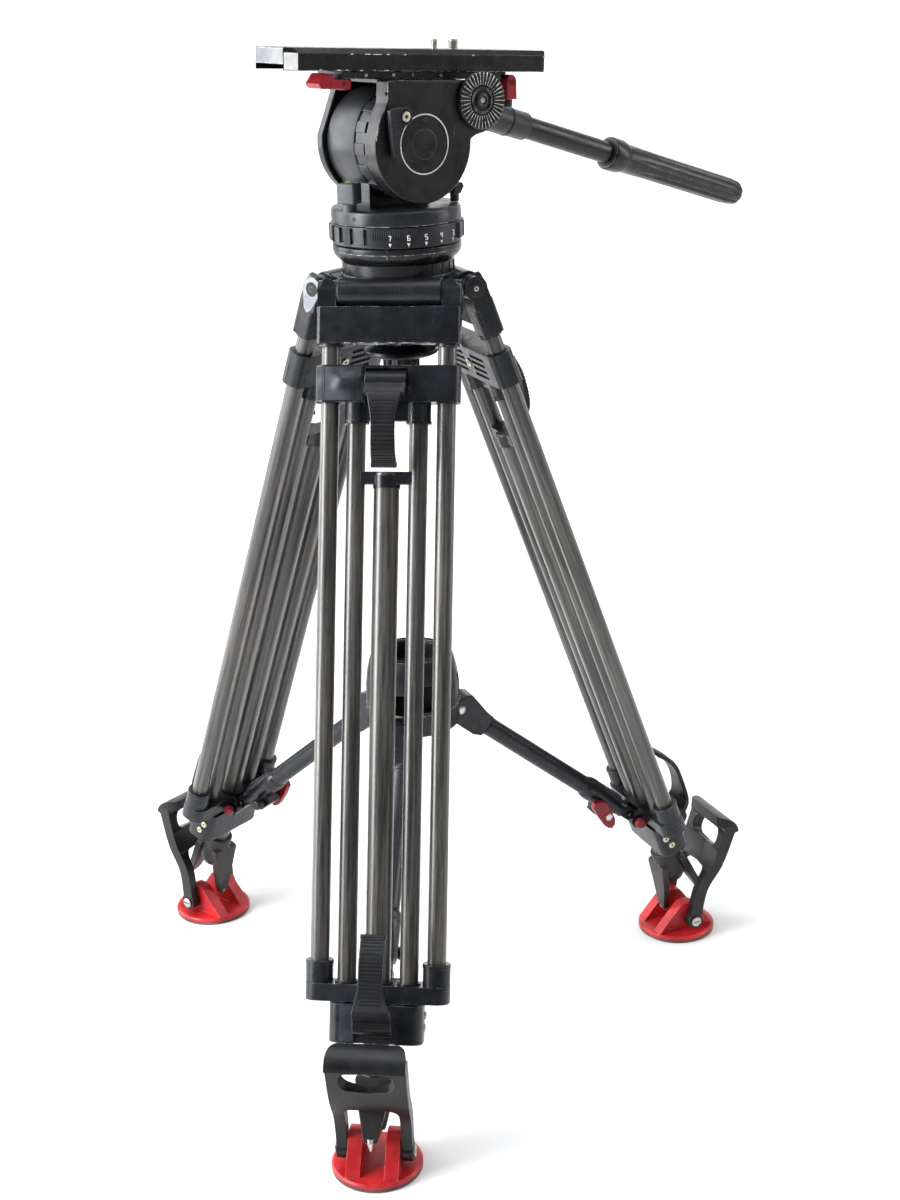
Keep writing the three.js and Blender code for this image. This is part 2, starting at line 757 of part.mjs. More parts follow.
const armRod = () => bar(ARM_TUBE, 100, 262, "x", [ARM_PLANE, 9]);

function armGrip() {
  const outline = [
    [0, 246],
    [15.6, 246],
    [16.6, 249],
    [16.6, 262],
    [14.6, 268],
    [13.8, 300],
    [13.8, 424],
    [11, 436],
    [0, 436],
  ];
  const body = place(
    new THREE.LatheGeometry(outline.map(([r, z]) => new THREE.Vector2(r, z)), 16),
    [0, ARM_PLANE, 9],
    [0, 0, -90],
  );
  const flutes = [];
  for (let i = 0; i < 8; i++) {
    const a = (i / 8) * 2 * Math.PI;
    flutes.push(
      bar(2.6, 300, 440, "x", [ARM_PLANE + 15.2 * Math.cos(a), 9 + 15.2 * Math.sin(a)], {
        segments: 6,
      }),
    );
  }
  return cut(solid(body), ...flutes, bar(ARM_TUBE + GAP, 240, 262.4, "x", [ARM_PLANE, 9]));
}

// ---- assembly ----
const object = new THREE.Group();
object.name = "tripod";
LEG_AZIMUTHS.forEach((azimuth, i) => object.add(makeLeg(i + 1, azimuth, HANDLE_LEAN[i])));
object.add(named("crown", geometryOf(crownSolid()), CASTING));
object.add(named("spreader_hub", geometryOf(hubSolid()), PLASTIC));

const head = new THREE.Group();
head.rotation.z = HEAD_AZIMUTH * DEG;
head.add(named("head_base", geometryOf(headBase()), ANODISED));
head.add(named("bowl_knob", geometryOf(bowlKnob()), PLASTIC));
const panDragRing = blockedRing(51.4, 57.6, 60.2, 761.2, 779.1, 16);
head.add(named("pan_drag_ring", geometryOf(panDragRing), PLASTIC));
head.add(named("pan_body", geometryOf(panBody()), ANODISED));
head.add(named("bubble_housing", geometryOf(solid(bubbleHousing())), GREY));
head.add(named("pan_brake", geometryOf(panBrake()), PLASTIC));
object.add(head);

const tilt = new THREE.Group();
tilt.position.z = TILT_HEIGHT;
tilt.rotation.y = TILT_AT_REST * DEG;
tilt.add(named("tilt_body", geometryOf(tiltBody()), ANODISED));
const dragRing = named("tilt_drag_ring", tiltDragRing(), PLASTIC);
dragRing.position.y = -17.4;
dragRing.rotation.x = 90 * DEG;
tilt.add(dragRing);
tilt.add(named("tilt_brake", geometryOf(tiltBrake()), PLASTIC));
const rosette = named("side_rosette", serratedDisc(ROSETTE.r, 13, 5, 24), STEEL);
rosette.position.set(ROSETTE.x, -46.4, ROSETTE.z);
rosette.rotation.x = 90 * DEG;
tilt.add(rosette);
tilt.add(named("plate_bed", geometryOf(plateBed()), ANODISED));
tilt.add(named("camera_plate", geometryOf(cameraPlate()), ANODISED));
tilt.add(named("camera_screw_small", geometryOf(cameraScrew(41.6, 3.2)), STEEL));
tilt.add(named("camera_screw_large", geometryOf(cameraScrew(62.1, 4.7)), STEEL));
tilt.add(named("plate_clamp_lever", geometryOf(clampLever()), RED));
tilt.add(named("plate_release_lever", geometryOf(releaseLever()), RED));
head.add(tilt);

const arm = new THREE.Group();
arm.position.set(PAN_ARM_PIVOT.x, 0, PAN_ARM_PIVOT.z);
arm.rotation.y = ARM_DROP * DEG;
arm.add(named("pan_arm_clamp", geometryOf(armClamp()), PLASTIC));
arm.add(named("pan_arm_rod", geometryOf(armRod()), ANODISED));
arm.add(named("pan_arm_grip", geometryOf(armGrip()), RUBBER));
tilt.add(arm);

// The row's origin is the middle of the object's footprint, on the floor.
object.updateMatrixWorld(true);
const extent = new THREE.Box3().setFromObject(object, true);
object.position.set(
  -(extent.min.x + extent.max.x) / 2,
  -(extent.min.y + extent.max.y) / 2,
  -extent.min.z,
);

export default object;
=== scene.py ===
"""Looks of a video tripod with a fluid head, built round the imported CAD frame.

Lengths and angles in the makers are millimetres and degrees, in each piece's own frame.
"""

import math

import bmesh
import bpy
from mathutils import Euler, Matrix, Vector


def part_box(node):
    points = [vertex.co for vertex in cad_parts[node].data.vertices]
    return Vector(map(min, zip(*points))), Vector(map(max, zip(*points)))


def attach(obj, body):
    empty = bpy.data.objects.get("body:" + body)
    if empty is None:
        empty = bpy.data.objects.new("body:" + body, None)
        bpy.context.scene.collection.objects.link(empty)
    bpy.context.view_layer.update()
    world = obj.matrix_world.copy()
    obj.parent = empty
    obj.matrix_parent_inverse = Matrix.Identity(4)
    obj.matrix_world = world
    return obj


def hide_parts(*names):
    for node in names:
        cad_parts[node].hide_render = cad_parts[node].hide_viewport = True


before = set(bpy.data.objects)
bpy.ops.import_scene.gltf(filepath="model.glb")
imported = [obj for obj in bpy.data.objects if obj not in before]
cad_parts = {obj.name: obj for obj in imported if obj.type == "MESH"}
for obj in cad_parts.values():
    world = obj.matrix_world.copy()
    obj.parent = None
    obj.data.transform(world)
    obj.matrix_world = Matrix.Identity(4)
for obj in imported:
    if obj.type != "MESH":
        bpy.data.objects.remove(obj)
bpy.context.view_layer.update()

MM = 0.001
ROUND = 48
SIDES = (1, -1)
ZERO = (0, 0, 0)
low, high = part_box("spreader_hub")
AXIS = Vector(((low.x + high.x) / 2, (low.y + high.y) / 2, 0))

# ---- sizes shared with the CAD frame ----
HINGE_RADIUS, HINGE_HEIGHT, LEG_ANGLE = 48.3, 722.5, 20.1
LEG_AZIMUTHS = (-90, 30, 150)
HANDLE_LEAN = (6, 0, 8)
TUBE_Y, TUBE_RADIUS, CENTRE_TUBE_RADIUS = -2, 8.2, 11.25
OUTER_X, INNER_X = 51.4, 27.4
CENTRE = (0, TUBE_Y, 0)
YOKE_PIVOT = (19.5, -608)
PAD_PIVOT = (301, 20)
PAD_CENTRE, PAD_RADIUS = 296, 40.2
HUB_PIVOT = (46, 303)
HEAD_AZIMUTH, TILT_HEIGHT, TILT_AT_REST = 43.5, 847, 3.5
ROSETTE = (58.2, 36.2)
PAN_ARM_PIVOT = (64, 30)
ARM_DROP = 14
ARM_AXIS = (0, 65, 9)


def turn(rx=0, ry=0, rz=0):
    return Euler([math.radians(a) for a in (rx, ry, rz)], "XYZ").to_matrix().to_4x4()


def shift(x, y, z):
    return Matrix.Translation(Vector((x, y, z)) * MM)


def leg_point(y, z):
    """Distance from the axis and height of a point of the leg's own frame."""
    a = math.radians(LEG_ANGLE)
    return (
        HINGE_RADIUS - z * math.sin(a) - y * math.cos(a),
        HINGE_HEIGHT + z * math.cos(a) - y * math.sin(a),
    )


ORIGIN = Matrix.Translation(AXIS)
HEAD = ORIGIN @ turn(rz=HEAD_AZIMUTH)
TILT = HEAD @ shift(0, 0, TILT_HEIGHT) @ turn(ry=TILT_AT_REST)
PAN_ARM = TILT @ shift(PAN_ARM_PIVOT[0], 0, PAN_ARM_PIVOT[1]) @ turn(ry=ARM_DROP)
ARM_FOOT = leg_point(*YOKE_PIVOT)
ARM_LENGTH = math.hypot(ARM_FOOT[0] - HUB_PIVOT[0], HUB_PIVOT[1] - ARM_FOOT[1])
ARM_SLOPE = math.degrees(math.atan2(HUB_PIVOT[1] - ARM_FOOT[1], ARM_FOOT[0] - HUB_PIVOT[0]))


# ---- materials ----
BUMP_DEPTH = 0.0002


class Nodes:
    """A short way to write a material's node tree."""

    def __init__(self, name, **sockets):
        self.material = bpy.data.materials.new(name)
        self.material.use_nodes = True
        self.tree = self.material.node_tree
        self.shader = self.tree.nodes["Principled BSDF"]
        for key, value in sockets.items():
            self.shader.inputs[key.replace("_", " ")].default_value = value
        coords = self.tree.nodes.new("ShaderNodeTexCoord")
        self.coords = coords.outputs["Object"]

    def link(self, a, b):
        self.tree.links.new(a, b)

    def noise(self, scale, stretch=(1, 1, 1), detail=4, roughness=0.6):
        mapping = self.tree.nodes.new("ShaderNodeMapping")
        mapping.inputs["Scale"].default_value = stretch
        self.link(self.coords, mapping.inputs["Vector"])
        node = self.tree.nodes.new("ShaderNodeTexNoise")
        node.inputs["Scale"].default_value = scale
        node.inputs["Detail"].default_value = detail
        node.inputs["Roughness"].default_value = roughness
        self.link(mapping.outputs["Vector"], node.inputs["Vector"])
        return node.outputs["Fac"]

    def spread(self, value, a, b, to_a=0.0, to_b=1.0):
        node = self.tree.nodes.new("ShaderNodeMapRange")
        node.interpolation_type = "SMOOTHSTEP"
        for key, v in (("From Min", a), ("From Max", b), ("To Min", to_a), ("To Max", to_b)):
            node.inputs[key].default_value = v
        self.link(value, node.inputs["Value"])
        return node.outputs["Result"]

    def math(self, operation, a, b):
        node = self.tree.nodes.new("ShaderNodeMath")
        node.operation = operation
        for socket, value in zip(node.inputs, (a, b)):
            if isinstance(value, (int, float)):
                socket.default_value = value
            else:
                self.link(value, socket)
        return node.outputs["Value"]

    def mix(self, share, a, b):
        node = self.tree.nodes.new("ShaderNodeMix")
        node.data_type = "RGBA"
        self.link(share, node.inputs["Factor"])
        for socket, value in ((node.inputs["A"], a), (node.inputs["B"], b)):
            if isinstance(value, tuple):
                socket.default_value = (*value, 1)
            else:
                self.link(value, socket)
        return node.outputs["Result"]

    def edges(self, radius, start, end):
        """1 on worn convex edges and 0 elsewhere, broken up by noise."""
        bevel = self.tree.nodes.new("ShaderNodeBevel")
        bevel.samples = 4
        bevel.inputs["Radius"].default_value = radius * MM
        geometry = self.tree.nodes.new("ShaderNodeNewGeometry")
        dot = self.tree.nodes.new("ShaderNodeVectorMath")
        dot.operation = "DOT_PRODUCT"
        self.link(bevel.outputs["Normal"], dot.inputs[0])
        self.link(geometry.outputs["Normal"], dot.inputs[1])
        sharp = self.spread(dot.outputs["Value"], end, start, 1.0, 0.0)
        patches = self.spread(self.noise(160, detail=6), 0.42, 0.62)
        return self.math("MULTIPLY", sharp, patches)

    def bump(self, height, strength):
        node = self.tree.nodes.new("ShaderNodeBump")
        node.inputs["Strength"].default_value = strength
        node.inputs["Distance"].default_value = BUMP_DEPTH
        self.link(height, node.inputs["Height"])
        self.link(node.outputs["Normal"], self.shader.inputs["Normal"])

    def colour(self, socket):
        self.link(socket, self.shader.inputs["Base Color"])

    def roughness(self, socket):
        self.link(socket, self.shader.inputs["Roughness"])


def coated(name, dark, light, rough, wear, grain, bump, wear_amount=(0.985, 0.90), shine=0.4):
    """A painted, moulded or anodised surface: cloudy tone, fine grain, and pale worn edges."""
    m = Nodes(name, Specular_IOR_Level=shine)
    cloud = m.spread(m.noise(28, detail=5), 0.35, 0.7)
    tone = m.mix(cloud, dark, light)
    fine = m.noise(grain, detail=3)
    rough_map = m.spread(m.noise(70, detail=5), 0.3, 0.75, rough - 0.06, rough + 0.1)
    if wear:
        worn = m.edges(1.1, *wear_amount)
        scuffs = m.spread(m.noise(240, stretch=(1, 1, 0.12), detail=2), 0.72, 0.78)
        worn = m.math("MAXIMUM", worn, m.math("MULTIPLY", scuffs, 0.22))
        tone = m.mix(worn, tone, wear)
    m.colour(tone)
    m.roughness(rough_map)
    m.bump(fine, bump)
    return m.material


def carbon():
    """Pultruded tube: long fibres in brown and grey under a clear, slightly rubbed coat."""
    m = Nodes("carbon_tube", IOR=1.5, Coat_Weight=0.6, Coat_Roughness=0.24)
    wide = m.spread(m.noise(190, stretch=(1, 1, 0.03), detail=6, roughness=0.75), 0.36, 0.66)
    thin = m.spread(m.noise(1100, stretch=(1, 1, 0.014), detail=3, roughness=0.7), 0.4, 0.66)
    rubbed = m.spread(m.noise(60, stretch=(1, 1, 0.2), detail=5), 0.45, 0.7)
    tone = m.mix(wide, (0.0075, 0.0068, 0.0062), (0.12, 0.11, 0.098))
    tone = m.mix(m.math("MULTIPLY", thin, 0.6), tone, (0.02, 0.0185, 0.017))
    m.colour(tone)
    m.roughness(m.spread(rubbed, 0, 1, 0.3, 0.48))
    m.bump(thin, 0.1)
    return m.material


def metal(name, tone, dirt, rough):
    m = Nodes(name, Metallic=1.0)
    spots = m.spread(m.noise(420, detail=5), 0.4, 0.72)
    m.colour(m.mix(spots, tone, dirt))
    m.roughness(m.spread(m.noise(300, detail=3), 0.3, 0.7, rough, rough + 0.18))
    m.bump(spots, 0.15)
    return m.material


SILVER = (0.62, 0.62, 0.6)
BLUE_WEAR = (0.13, 0.14, 0.165)
CASTING = coated("casting", (0.0055, 0.0063, 0.0085), (0.0125, 0.0145, 0.019), 0.3, BLUE_WEAR, 1300, 0.22)
SHOULDER = coated(
    "shoulder_paint", (0.0052, 0.006, 0.008), (0.0115, 0.0132, 0.017), 0.28, (0.22, 0.23, 0.25), 1200, 0.2,
    (0.965, 0.86),
)
# A pale casting grey, used as painted highlight on the first leg's clamps.
CASTING_HIGHLIGHT = coated("casting_painted_highlight", (0.018, 0.021, 0.027), (0.052, 0.059, 0.073), 0.33, None, 1100, 0.25)
ANODISED = coated("anodised_black", (0.0032, 0.0034, 0.004), (0.0065, 0.007, 0.008), 0.3, SILVER, 2200, 0.1,
                  (0.955, 0.85))
PLATE_PAINT = coated(
    "plate_black", (0.0042, 0.0043, 0.004), (0.0105, 0.0106, 0.0088), 0.24, SILVER, 1500, 0.1,
    (0.985, 0.91),
)
PLASTIC = coated(
    "moulded_black", (0.0042, 0.0046, 0.0058), (0.0095, 0.0105, 0.0125), 0.36, (0.05, 0.054, 0.06), 1700,
    0.3,
)
RIB = coated("ribbed_black", (0.004, 0.0044, 0.0055), (0.009, 0.01, 0.012), 0.34, None, 1700, 0.1)
RING = coated(
    "ring_grey", (0.0075, 0.0082, 0.01), (0.0165, 0.0178, 0.0215), 0.33, (0.14, 0.15, 0.16), 1700, 0.22,
)
DRUM = coated("drum_grey", (0.0095, 0.0102, 0.0122), (0.0165, 0.0175, 0.0205), 0.34, None, 1500, 0.12)
RUBBER = coated(
    "rubber_black", (0.0036, 0.0038, 0.0045), (0.0085, 0.009, 0.0105), 0.38, (0.04, 0.042, 0.046), 700, 0.3,
)
GRIP = coated("grip_black", (0.0032, 0.0034, 0.0038), (0.007, 0.0073, 0.008), 0.27, None, 1400, 0.15)
PRONG = coated(
    "prong_casting", (0.009, 0.0075, 0.0075), (0.03, 0.024, 0.023), 0.42, (0.16, 0.15, 0.14), 500, 0.7,
)
# Near-black for dark joints, rings and marks, and painted shade in holes, sockets, slots and on the walls
# that cuts leave.
BLACK_AND_SHADE = coated("black_and_painted_shade", (0.002, 0.002, 0.0023), (0.004, 0.004, 0.0045), 0.6, None, 900, 0.2)
RED = coated("latch_red", (0.22, 0.006, 0.012), (0.33, 0.011, 0.018), 0.32, (0.5, 0.08, 0.08), 1300, 0.2)
PAD_RED = coated("pad_red", (0.34, 0.008, 0.012), (0.62, 0.022, 0.026), 0.36, (0.78, 0.13, 0.11), 600, 0.45,
                 (0.99, 0.93))
SOLE = coated("sole_grey", (0.07, 0.058, 0.05), (0.17, 0.148, 0.13), 0.8, None, 500, 0.9)
HOUSING = coated(
    "housing_grey", (0.036, 0.039, 0.045), (0.056, 0.06, 0.069), 0.38, (0.16, 0.165, 0.18), 1600, 0.2,
)
# Collar grey; also a pale band painted as highlight along the near cheek's front edge.
RIM_GREY_AND_HIGHLIGHT = coated("collar_grey_and_painted_highlight", (0.02, 0.022, 0.026), (0.05, 0.054, 0.062), 0.3, SILVER, 1300, 0.2)
TEARDROP = coated("worn_rim", (0.16, 0.175, 0.2), (0.3, 0.32, 0.35), 0.34, (0.6, 0.6, 0.6), 900, 0.3)
BARE = coated("bare_grey", (0.13, 0.137, 0.148), (0.23, 0.238, 0.252), 0.42, (0.8, 0.8, 0.8), 900, 0.35,
              (0.992, 0.93))
CHIP = coated("chipped_white", (0.35, 0.35, 0.35), (0.75, 0.75, 0.74), 0.42, (0.9, 0.9, 0.9), 420, 0.5)
LINE = coated("line_white", (0.62, 0.62, 0.6), (0.8, 0.8, 0.78), 0.45, None, 800, 0.15)
FAINT = coated("mark_faint", (0.03, 0.03, 0.028), (0.09, 0.09, 0.086), 0.5, None, 1500, 0.2)
CARBON = carbon()
STEEL = metal("screw_steel", (0.62, 0.6, 0.56), (0.3, 0.28, 0.24), 0.22)
CREAM = metal("screw_cream", (0.68, 0.62, 0.48), (0.4, 0.35, 0.26), 0.3)
ZINC = metal("worn_teeth", (0.7, 0.69, 0.65), (0.16, 0.155, 0.14), 0.34)
CLEAR = coated("vial_green", (0.3, 0.42, 0.08), (0.42, 0.55, 0.14), 0.08, None, 400, 0.05)


# ---- mesh kit ----
AXES = {
    "x": Matrix(((0, 0, 1), (1, 0, 0), (0, 1, 0))),
    "y": Matrix(((1, 0, 0), (0, 0, 1), (0, 1, 0))),
    "z": Matrix(((1, 0, 0), (0, 1, 0), (0, 0, 1))),
}


class Part:
    """One visible piece: prisms, turned shapes and straps gathered in one mesh, in its own frame."""

    def __init__(self, name, where, body, bevel=0.6, segments=2):
        self.name, self.where, self.body = name, where, body
        self.bevel, self.segments = bevel, segments
        self.mesh = bmesh.new()
        self.materials = []
        self.cuts = []

    def _slot(self, material):
        if material not in self.materials:
            self.materials.append(material)
        return self.materials.index(material)

    def add(self, rings, material, caps=True):
        """Rings of points joined in order, with flat caps at the ends."""
        slot = self._slot(material)
        bm = self.mesh
        rows = [[bm.verts.new(Vector(p) * MM) for p in ring] for ring in rings]
        made = []
        n = len(rows[0])
        for a, b in zip(rows, rows[1:]):
            for i in range(n):
                j = (i + 1) % n
                made.append(bm.faces.new((a[i], a[j], b[j], b[i])))
        if caps:
            made.append(bm.faces.new(rows[0][::-1]))
            made.append(bm.faces.new(rows[-1]))
        else:
            for i in range(n):
                j = (i + 1) % n
                made.append(bm.faces.new((rows[-1][i], rows[-1][j], rows[0][j], rows[0][i])))
        for f in made:
            f.material_index = slot
            f.smooth = True

    def prism(self, outline, start, end, axis, material):
        turn3 = AXES[axis]
        rings = [[turn3 @ Vector((a, b, level)) for a, b in outline] for level in (start, end)]
        self.add(rings, material)

    def box(self, a, b, material):
        self.prism([(a[0], a[1]), (b[0], a[1]), (b[0], b[1]), (a[0], b[1])], a[2], b[2], "z", material)

    def pillow(self, a, b, r, material, steps=6):
        """A box whose upright edges are rounded."""
        self.prism(rounded(a[0], a[1], b[0], b[1], r, steps), a[2], b[2], "z", material)

    def turned(self, profile, axis, centre, material, n=ROUND):
        """A turned shape from (radius, level) pairs; a profile that ends on the axis is capped."""
        turn3 = AXES[axis]
        centre = Vector(centre)
        profile = [(max(r, 0.02), level) for r, level in profile]
        rings = []
        for r, level in profile:
            ring = []
            for i in range(n):
                a = 2 * math.pi * i / n
                ring.append(turn3 @ Vector((r * math.cos(a), r * math.sin(a), level)) + centre)
            rings.append(ring)
        self.add(rings, material, caps=profile[0][0] < 0.5 or profile[-1][0] < 0.5)

    def bar(self, r, start, end, axis, centre, material, n=ROUND):
        self.turned([(0, start), (r, start), (r, end), (0, end)], axis, centre, material, n)

    def ring(self, inner, outer, start, end, axis, centre, material, n=ROUND):
        self.turned([(inner, start), (outer, start), (outer, end), (inner, end)], axis, centre, material, n)

    def strap(self, points, widths, thickness, axis, material, steps=20):
        """A strap along a smooth line in the plane across the axis, with its own half width at each point."""
        turn3 = AXES[axis]
        line = smooth_line(points, steps)
        wide = smooth_line([(w, 0) for w in widths], steps)
        rings = []
        for i, (p, w) in enumerate(zip(line, wide)):
            a, b = line[max(i - 1, 0)], line[min(i + 1, len(line) - 1)]
            t = Vector((b[0] - a[0], b[1] - a[1])).normalized()
            n = Vector((-t.y, t.x)) * thickness / 2
            ring = []
            for side, half in ((1, -w[0]), (1, w[0]), (-1, w[0]), (-1, -w[0])):
                ring.append(turn3 @ Vector((p[0] + n.x * side, p[1] + n.y * side, half)))
            rings.append(ring)
        self.add(rings, material)

    def cut(self, make):
        """make(part) adds the shape that is cut away."""
        tool = Part(self.name + "_tool", self.where, self.body)
        tool.materials = self.materials
        make(tool)
        self.cuts.append(tool)

    def _object(self, name):
        bmesh.ops.recalc_face_normals(self.mesh, faces=self.mesh.faces)
        data = bpy.data.meshes.new(name)
        self.mesh.to_mesh(data)
        self.mesh.free()
        for m in self.materials:
            data.materials.append(m)
        o = bpy.data.objects.new(name, data)
        bpy.context.scene.collection.objects.link(o)
        o.matrix_world = self.where
        return o

    def done(self, *replaced, slot):
        """Make the object, ride it on its body and let it stand in for the replaced CAD nodes."""
        o = self._object(self.name)
        # Cut walls keep the tool's material; a tool in the near-black paints shade inside the hole or slot.
        for tool in self.cuts:
            t = tool._object(tool.name)
            m = o.modifiers.new("cut", "BOOLEAN")
            m.operation, m.object, m.solver, m.use_self = "DIFFERENCE", t, "EXACT", True
            bpy.context.view_layer.update()
            made = bpy.data.meshes.new_from_object(o.evaluated_get(bpy.context.evaluated_depsgraph_get()))
            o.modifiers.clear()
            o.data = made
            for f in o.data.polygons:
                f.use_smooth = True
            bpy.data.objects.remove(t)
        if self.bevel:
            m = o.modifiers.new("edges", "BEVEL")
            m.width, m.segments, m.limit_method = self.bevel * MM, self.segments, "ANGLE"
            m.angle_limit, m.harden_normals = math.radians(32), True
            m.use_clamp_overlap = True
        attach(o, self.body)
        if replaced:
            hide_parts(*replaced)


def rounded(x0, y0, x1, y1, r, steps=6):
    """The outline of a rectangle with round corners."""
    points = []
    left, right, bottom, top = x0 + r, x1 - r, y0 + r, y1 - r
    for cx, cy, start in ((right, bottom, -90), (right, top, 0), (left, top, 90), (left, bottom, 180)):
        for i in range(steps + 1):
            a = math.radians(start + 90 * i / steps)
            points.append((cx + r * math.cos(a), cy + r * math.sin(a)))
    return points


def between(a, b, c, d, t):
    bend, twist = 2 * a - 5 * b + 4 * c - d, 3 * b - 3 * c + d - a
    return 0.5 * (2 * b + (c - a) * t + bend * t * t + twist * t ** 3)


def smooth_line(points, steps):
    """Points on a Catmull-Rom curve through the given ones."""
    out = []
    count = len(points) - 1
    for k in range(steps + 1):
        t = k / steps * count
        i = min(int(t), count - 1)
        t -= i
        near = (points[max(i - 1, 0)], points[i], points[i + 1], points[min(i + 2, count)])
        out.append(tuple(between(*values, t) for values in zip(*near)))
    return out


def polar(r, a):
    return (r * math.cos(a), r * math.sin(a))


def arc(cx, cy, r, start, end, steps):
    angles = [math.radians(start + (end - start) * i / steps) for i in range(steps + 1)]
    return [(cx + r * math.cos(a), cy + r * math.sin(a)) for a in angles]


def grip_block(part, a0, base, top, levels, axis):
    """One raised block of a drag ring; base and top are a radius and the angles along it."""
    outline = [polar(r, a0 + d) for r, angles in (base, top) for d in angles]
    part.prism(outline, *levels, axis, RING)


def socket_screw(part, axis, face, centre, r, material=CREAM, side=1, depth=1.0):
    """A round screw head proud of a face, with its hex socket drawn as a dark prism in painted shade."""
    part.turned(
        [(0, face - side * 0.5), (r, face - side * 0.5), (r, face + side * depth * 0.7),
         (r * 0.85, face + side * depth), (r * 0.45, face + side * depth), (0, face + side * (depth - 0.3))],
        axis, centre, material, 24,
    )
    part.bar(r * 0.42, face, face + side * (depth + 0.05), axis, centre, BLACK_AND_SHADE, 6)


def slot_screw(part, axis, face, centre, r, side=1):
    """A round pivot screw with one straight slot."""
    part.turned(
        [(0, face - side * 0.5), (r, face - side * 0.5), (r, face + side * 0.8), (r * 0.8, face + side * 1.2),
         (0, face + side * 1.25)],
        axis, centre, STEEL, 28,
    )


# ---- legs ----
def outer_stage(k, where, body):
    """Outer tubes bonded into the shoulder casting, which hinges on the crown."""
    part = Part(f"leg{k}_outer_tubes", where, body, 0.3)
    for s in SIDES:
        part.bar(TUBE_RADIUS, -604, -30, "z", (s * OUTER_X, TUBE_Y, 0), CARBON)
    part.done(slot="carbon")
    part = Part(f"leg{k}_shoulder", where, body, 2.2, 4)
    part.pillow((-63, -12.6, -46), (63, 7.5, -14), 4, SHOULDER)
    part.cut(lambda t: t.box((-40.8, -2.8, -60), (40.8, 20, 0), BLACK_AND_SHADE))
    for s in SIDES:
        side = [(45.9, -20), (63, -20), (63, -8), (61.5, 3), (58.5, 9), (54.7, 11), (50, 9.6), (46.3, 5),
                (46.3, -12)]
        part.prism([(s * x, z) for x, z in side], -10.5, 7.5, "y", SHOULDER)
        part.bar(11, s * 46.3, s * 63, "x", ZERO, SHOULDER)
    part.done(f"leg{k}_outer_stage", slot="casting")
    part = Part(f"leg{k}_shoulder_trim", where, body, 0.3)
    for s in SIDES:
        if k == 3 and s == 1:
            drop = arc(0, 0, 10.4, -35, 215, 24) + [(-4, -19), (0, -22.5), (4, -19)]
            part.prism(drop, s * 62.4, s * 63.5, "x", TEARDROP)
            part.bar(6.6, s * 63, s * 63.7, "x", ZERO, BLACK_AND_SHADE, 36)
            socket_screw(part, "x", s * 63.4, ZERO, 3.4, PLASTIC, s, 0.6)
        else:
            part.turned(
                [(0, s * 62), (8.4, s * 62), (8.4, s * 63.2), (7.4, s * 63.5), (0, s * 63.5)], "x", ZERO,
                PLASTIC, 36,
            )
            socket_screw(part, "x", s * 63.3, ZERO, 2.4, STEEL, s, 0.4)
        part.ring(8.4, 10.6, -48.6, -45.6, "z", (s * OUTER_X, TUBE_Y, 0), SHOULDER, 40)
    for x in (-30, -10, 10, 30):
        part.box((x - 0.5, -11.6, -46.6), (x + 0.5, -4, -45.6), CHIP)
    part.box((-38, -12.75, -46.2), (38, -12.2, -45.2), RIM_GREY_AND_HIGHLIGHT)
    part.done(slot="casting")


def yoke(k, where, body):
    part = Part(f"leg{k}_yoke_casting", where, body, 0.9, 3)
    part.pillow((-63, -15, -616), (63, 12, -601), 11, CASTING)
    for s in SIDES:
        part.bar(12, -615, -582, "z", (s * OUTER_X, TUBE_Y, 0), CASTING)
        x0, x1 = sorted((s * 10, s * 18))
        part.box((x0, 8, -616), (x1, 19.5, -601), CASTING)
        part.bar(7.5, s * 10, s * 18, "x", (0, *YOKE_PIVOT), CASTING)
    part.cut(lambda t: [t.bar(8.6, -620, -596, "z", (s * INNER_X, TUBE_Y, 0), BLACK_AND_SHADE) for s in SIDES])
    part.cut(lambda t: t.bar(11.7, -620, -596, "z", CENTRE, BLACK_AND_SHADE))
    part.done(f"leg{k}_yoke", slot="casting")
    part = Part(f"leg{k}_yoke_collars", where, body, 0.4)
    for s in SIDES:
        part.ring(8.3, 12.3, -586, -582.4, "z", (s * OUTER_X, TUBE_Y, 0), CASTING)
        part.ring(8.5, 10.2, -601.2, -599.4, "z", (s * INNER_X, TUBE_Y, 0), PLASTIC)
    part.ring(11.6, 13.4, -601.2, -599.4, "z", CENTRE, PLASTIC)
    part.done(slot="casting")


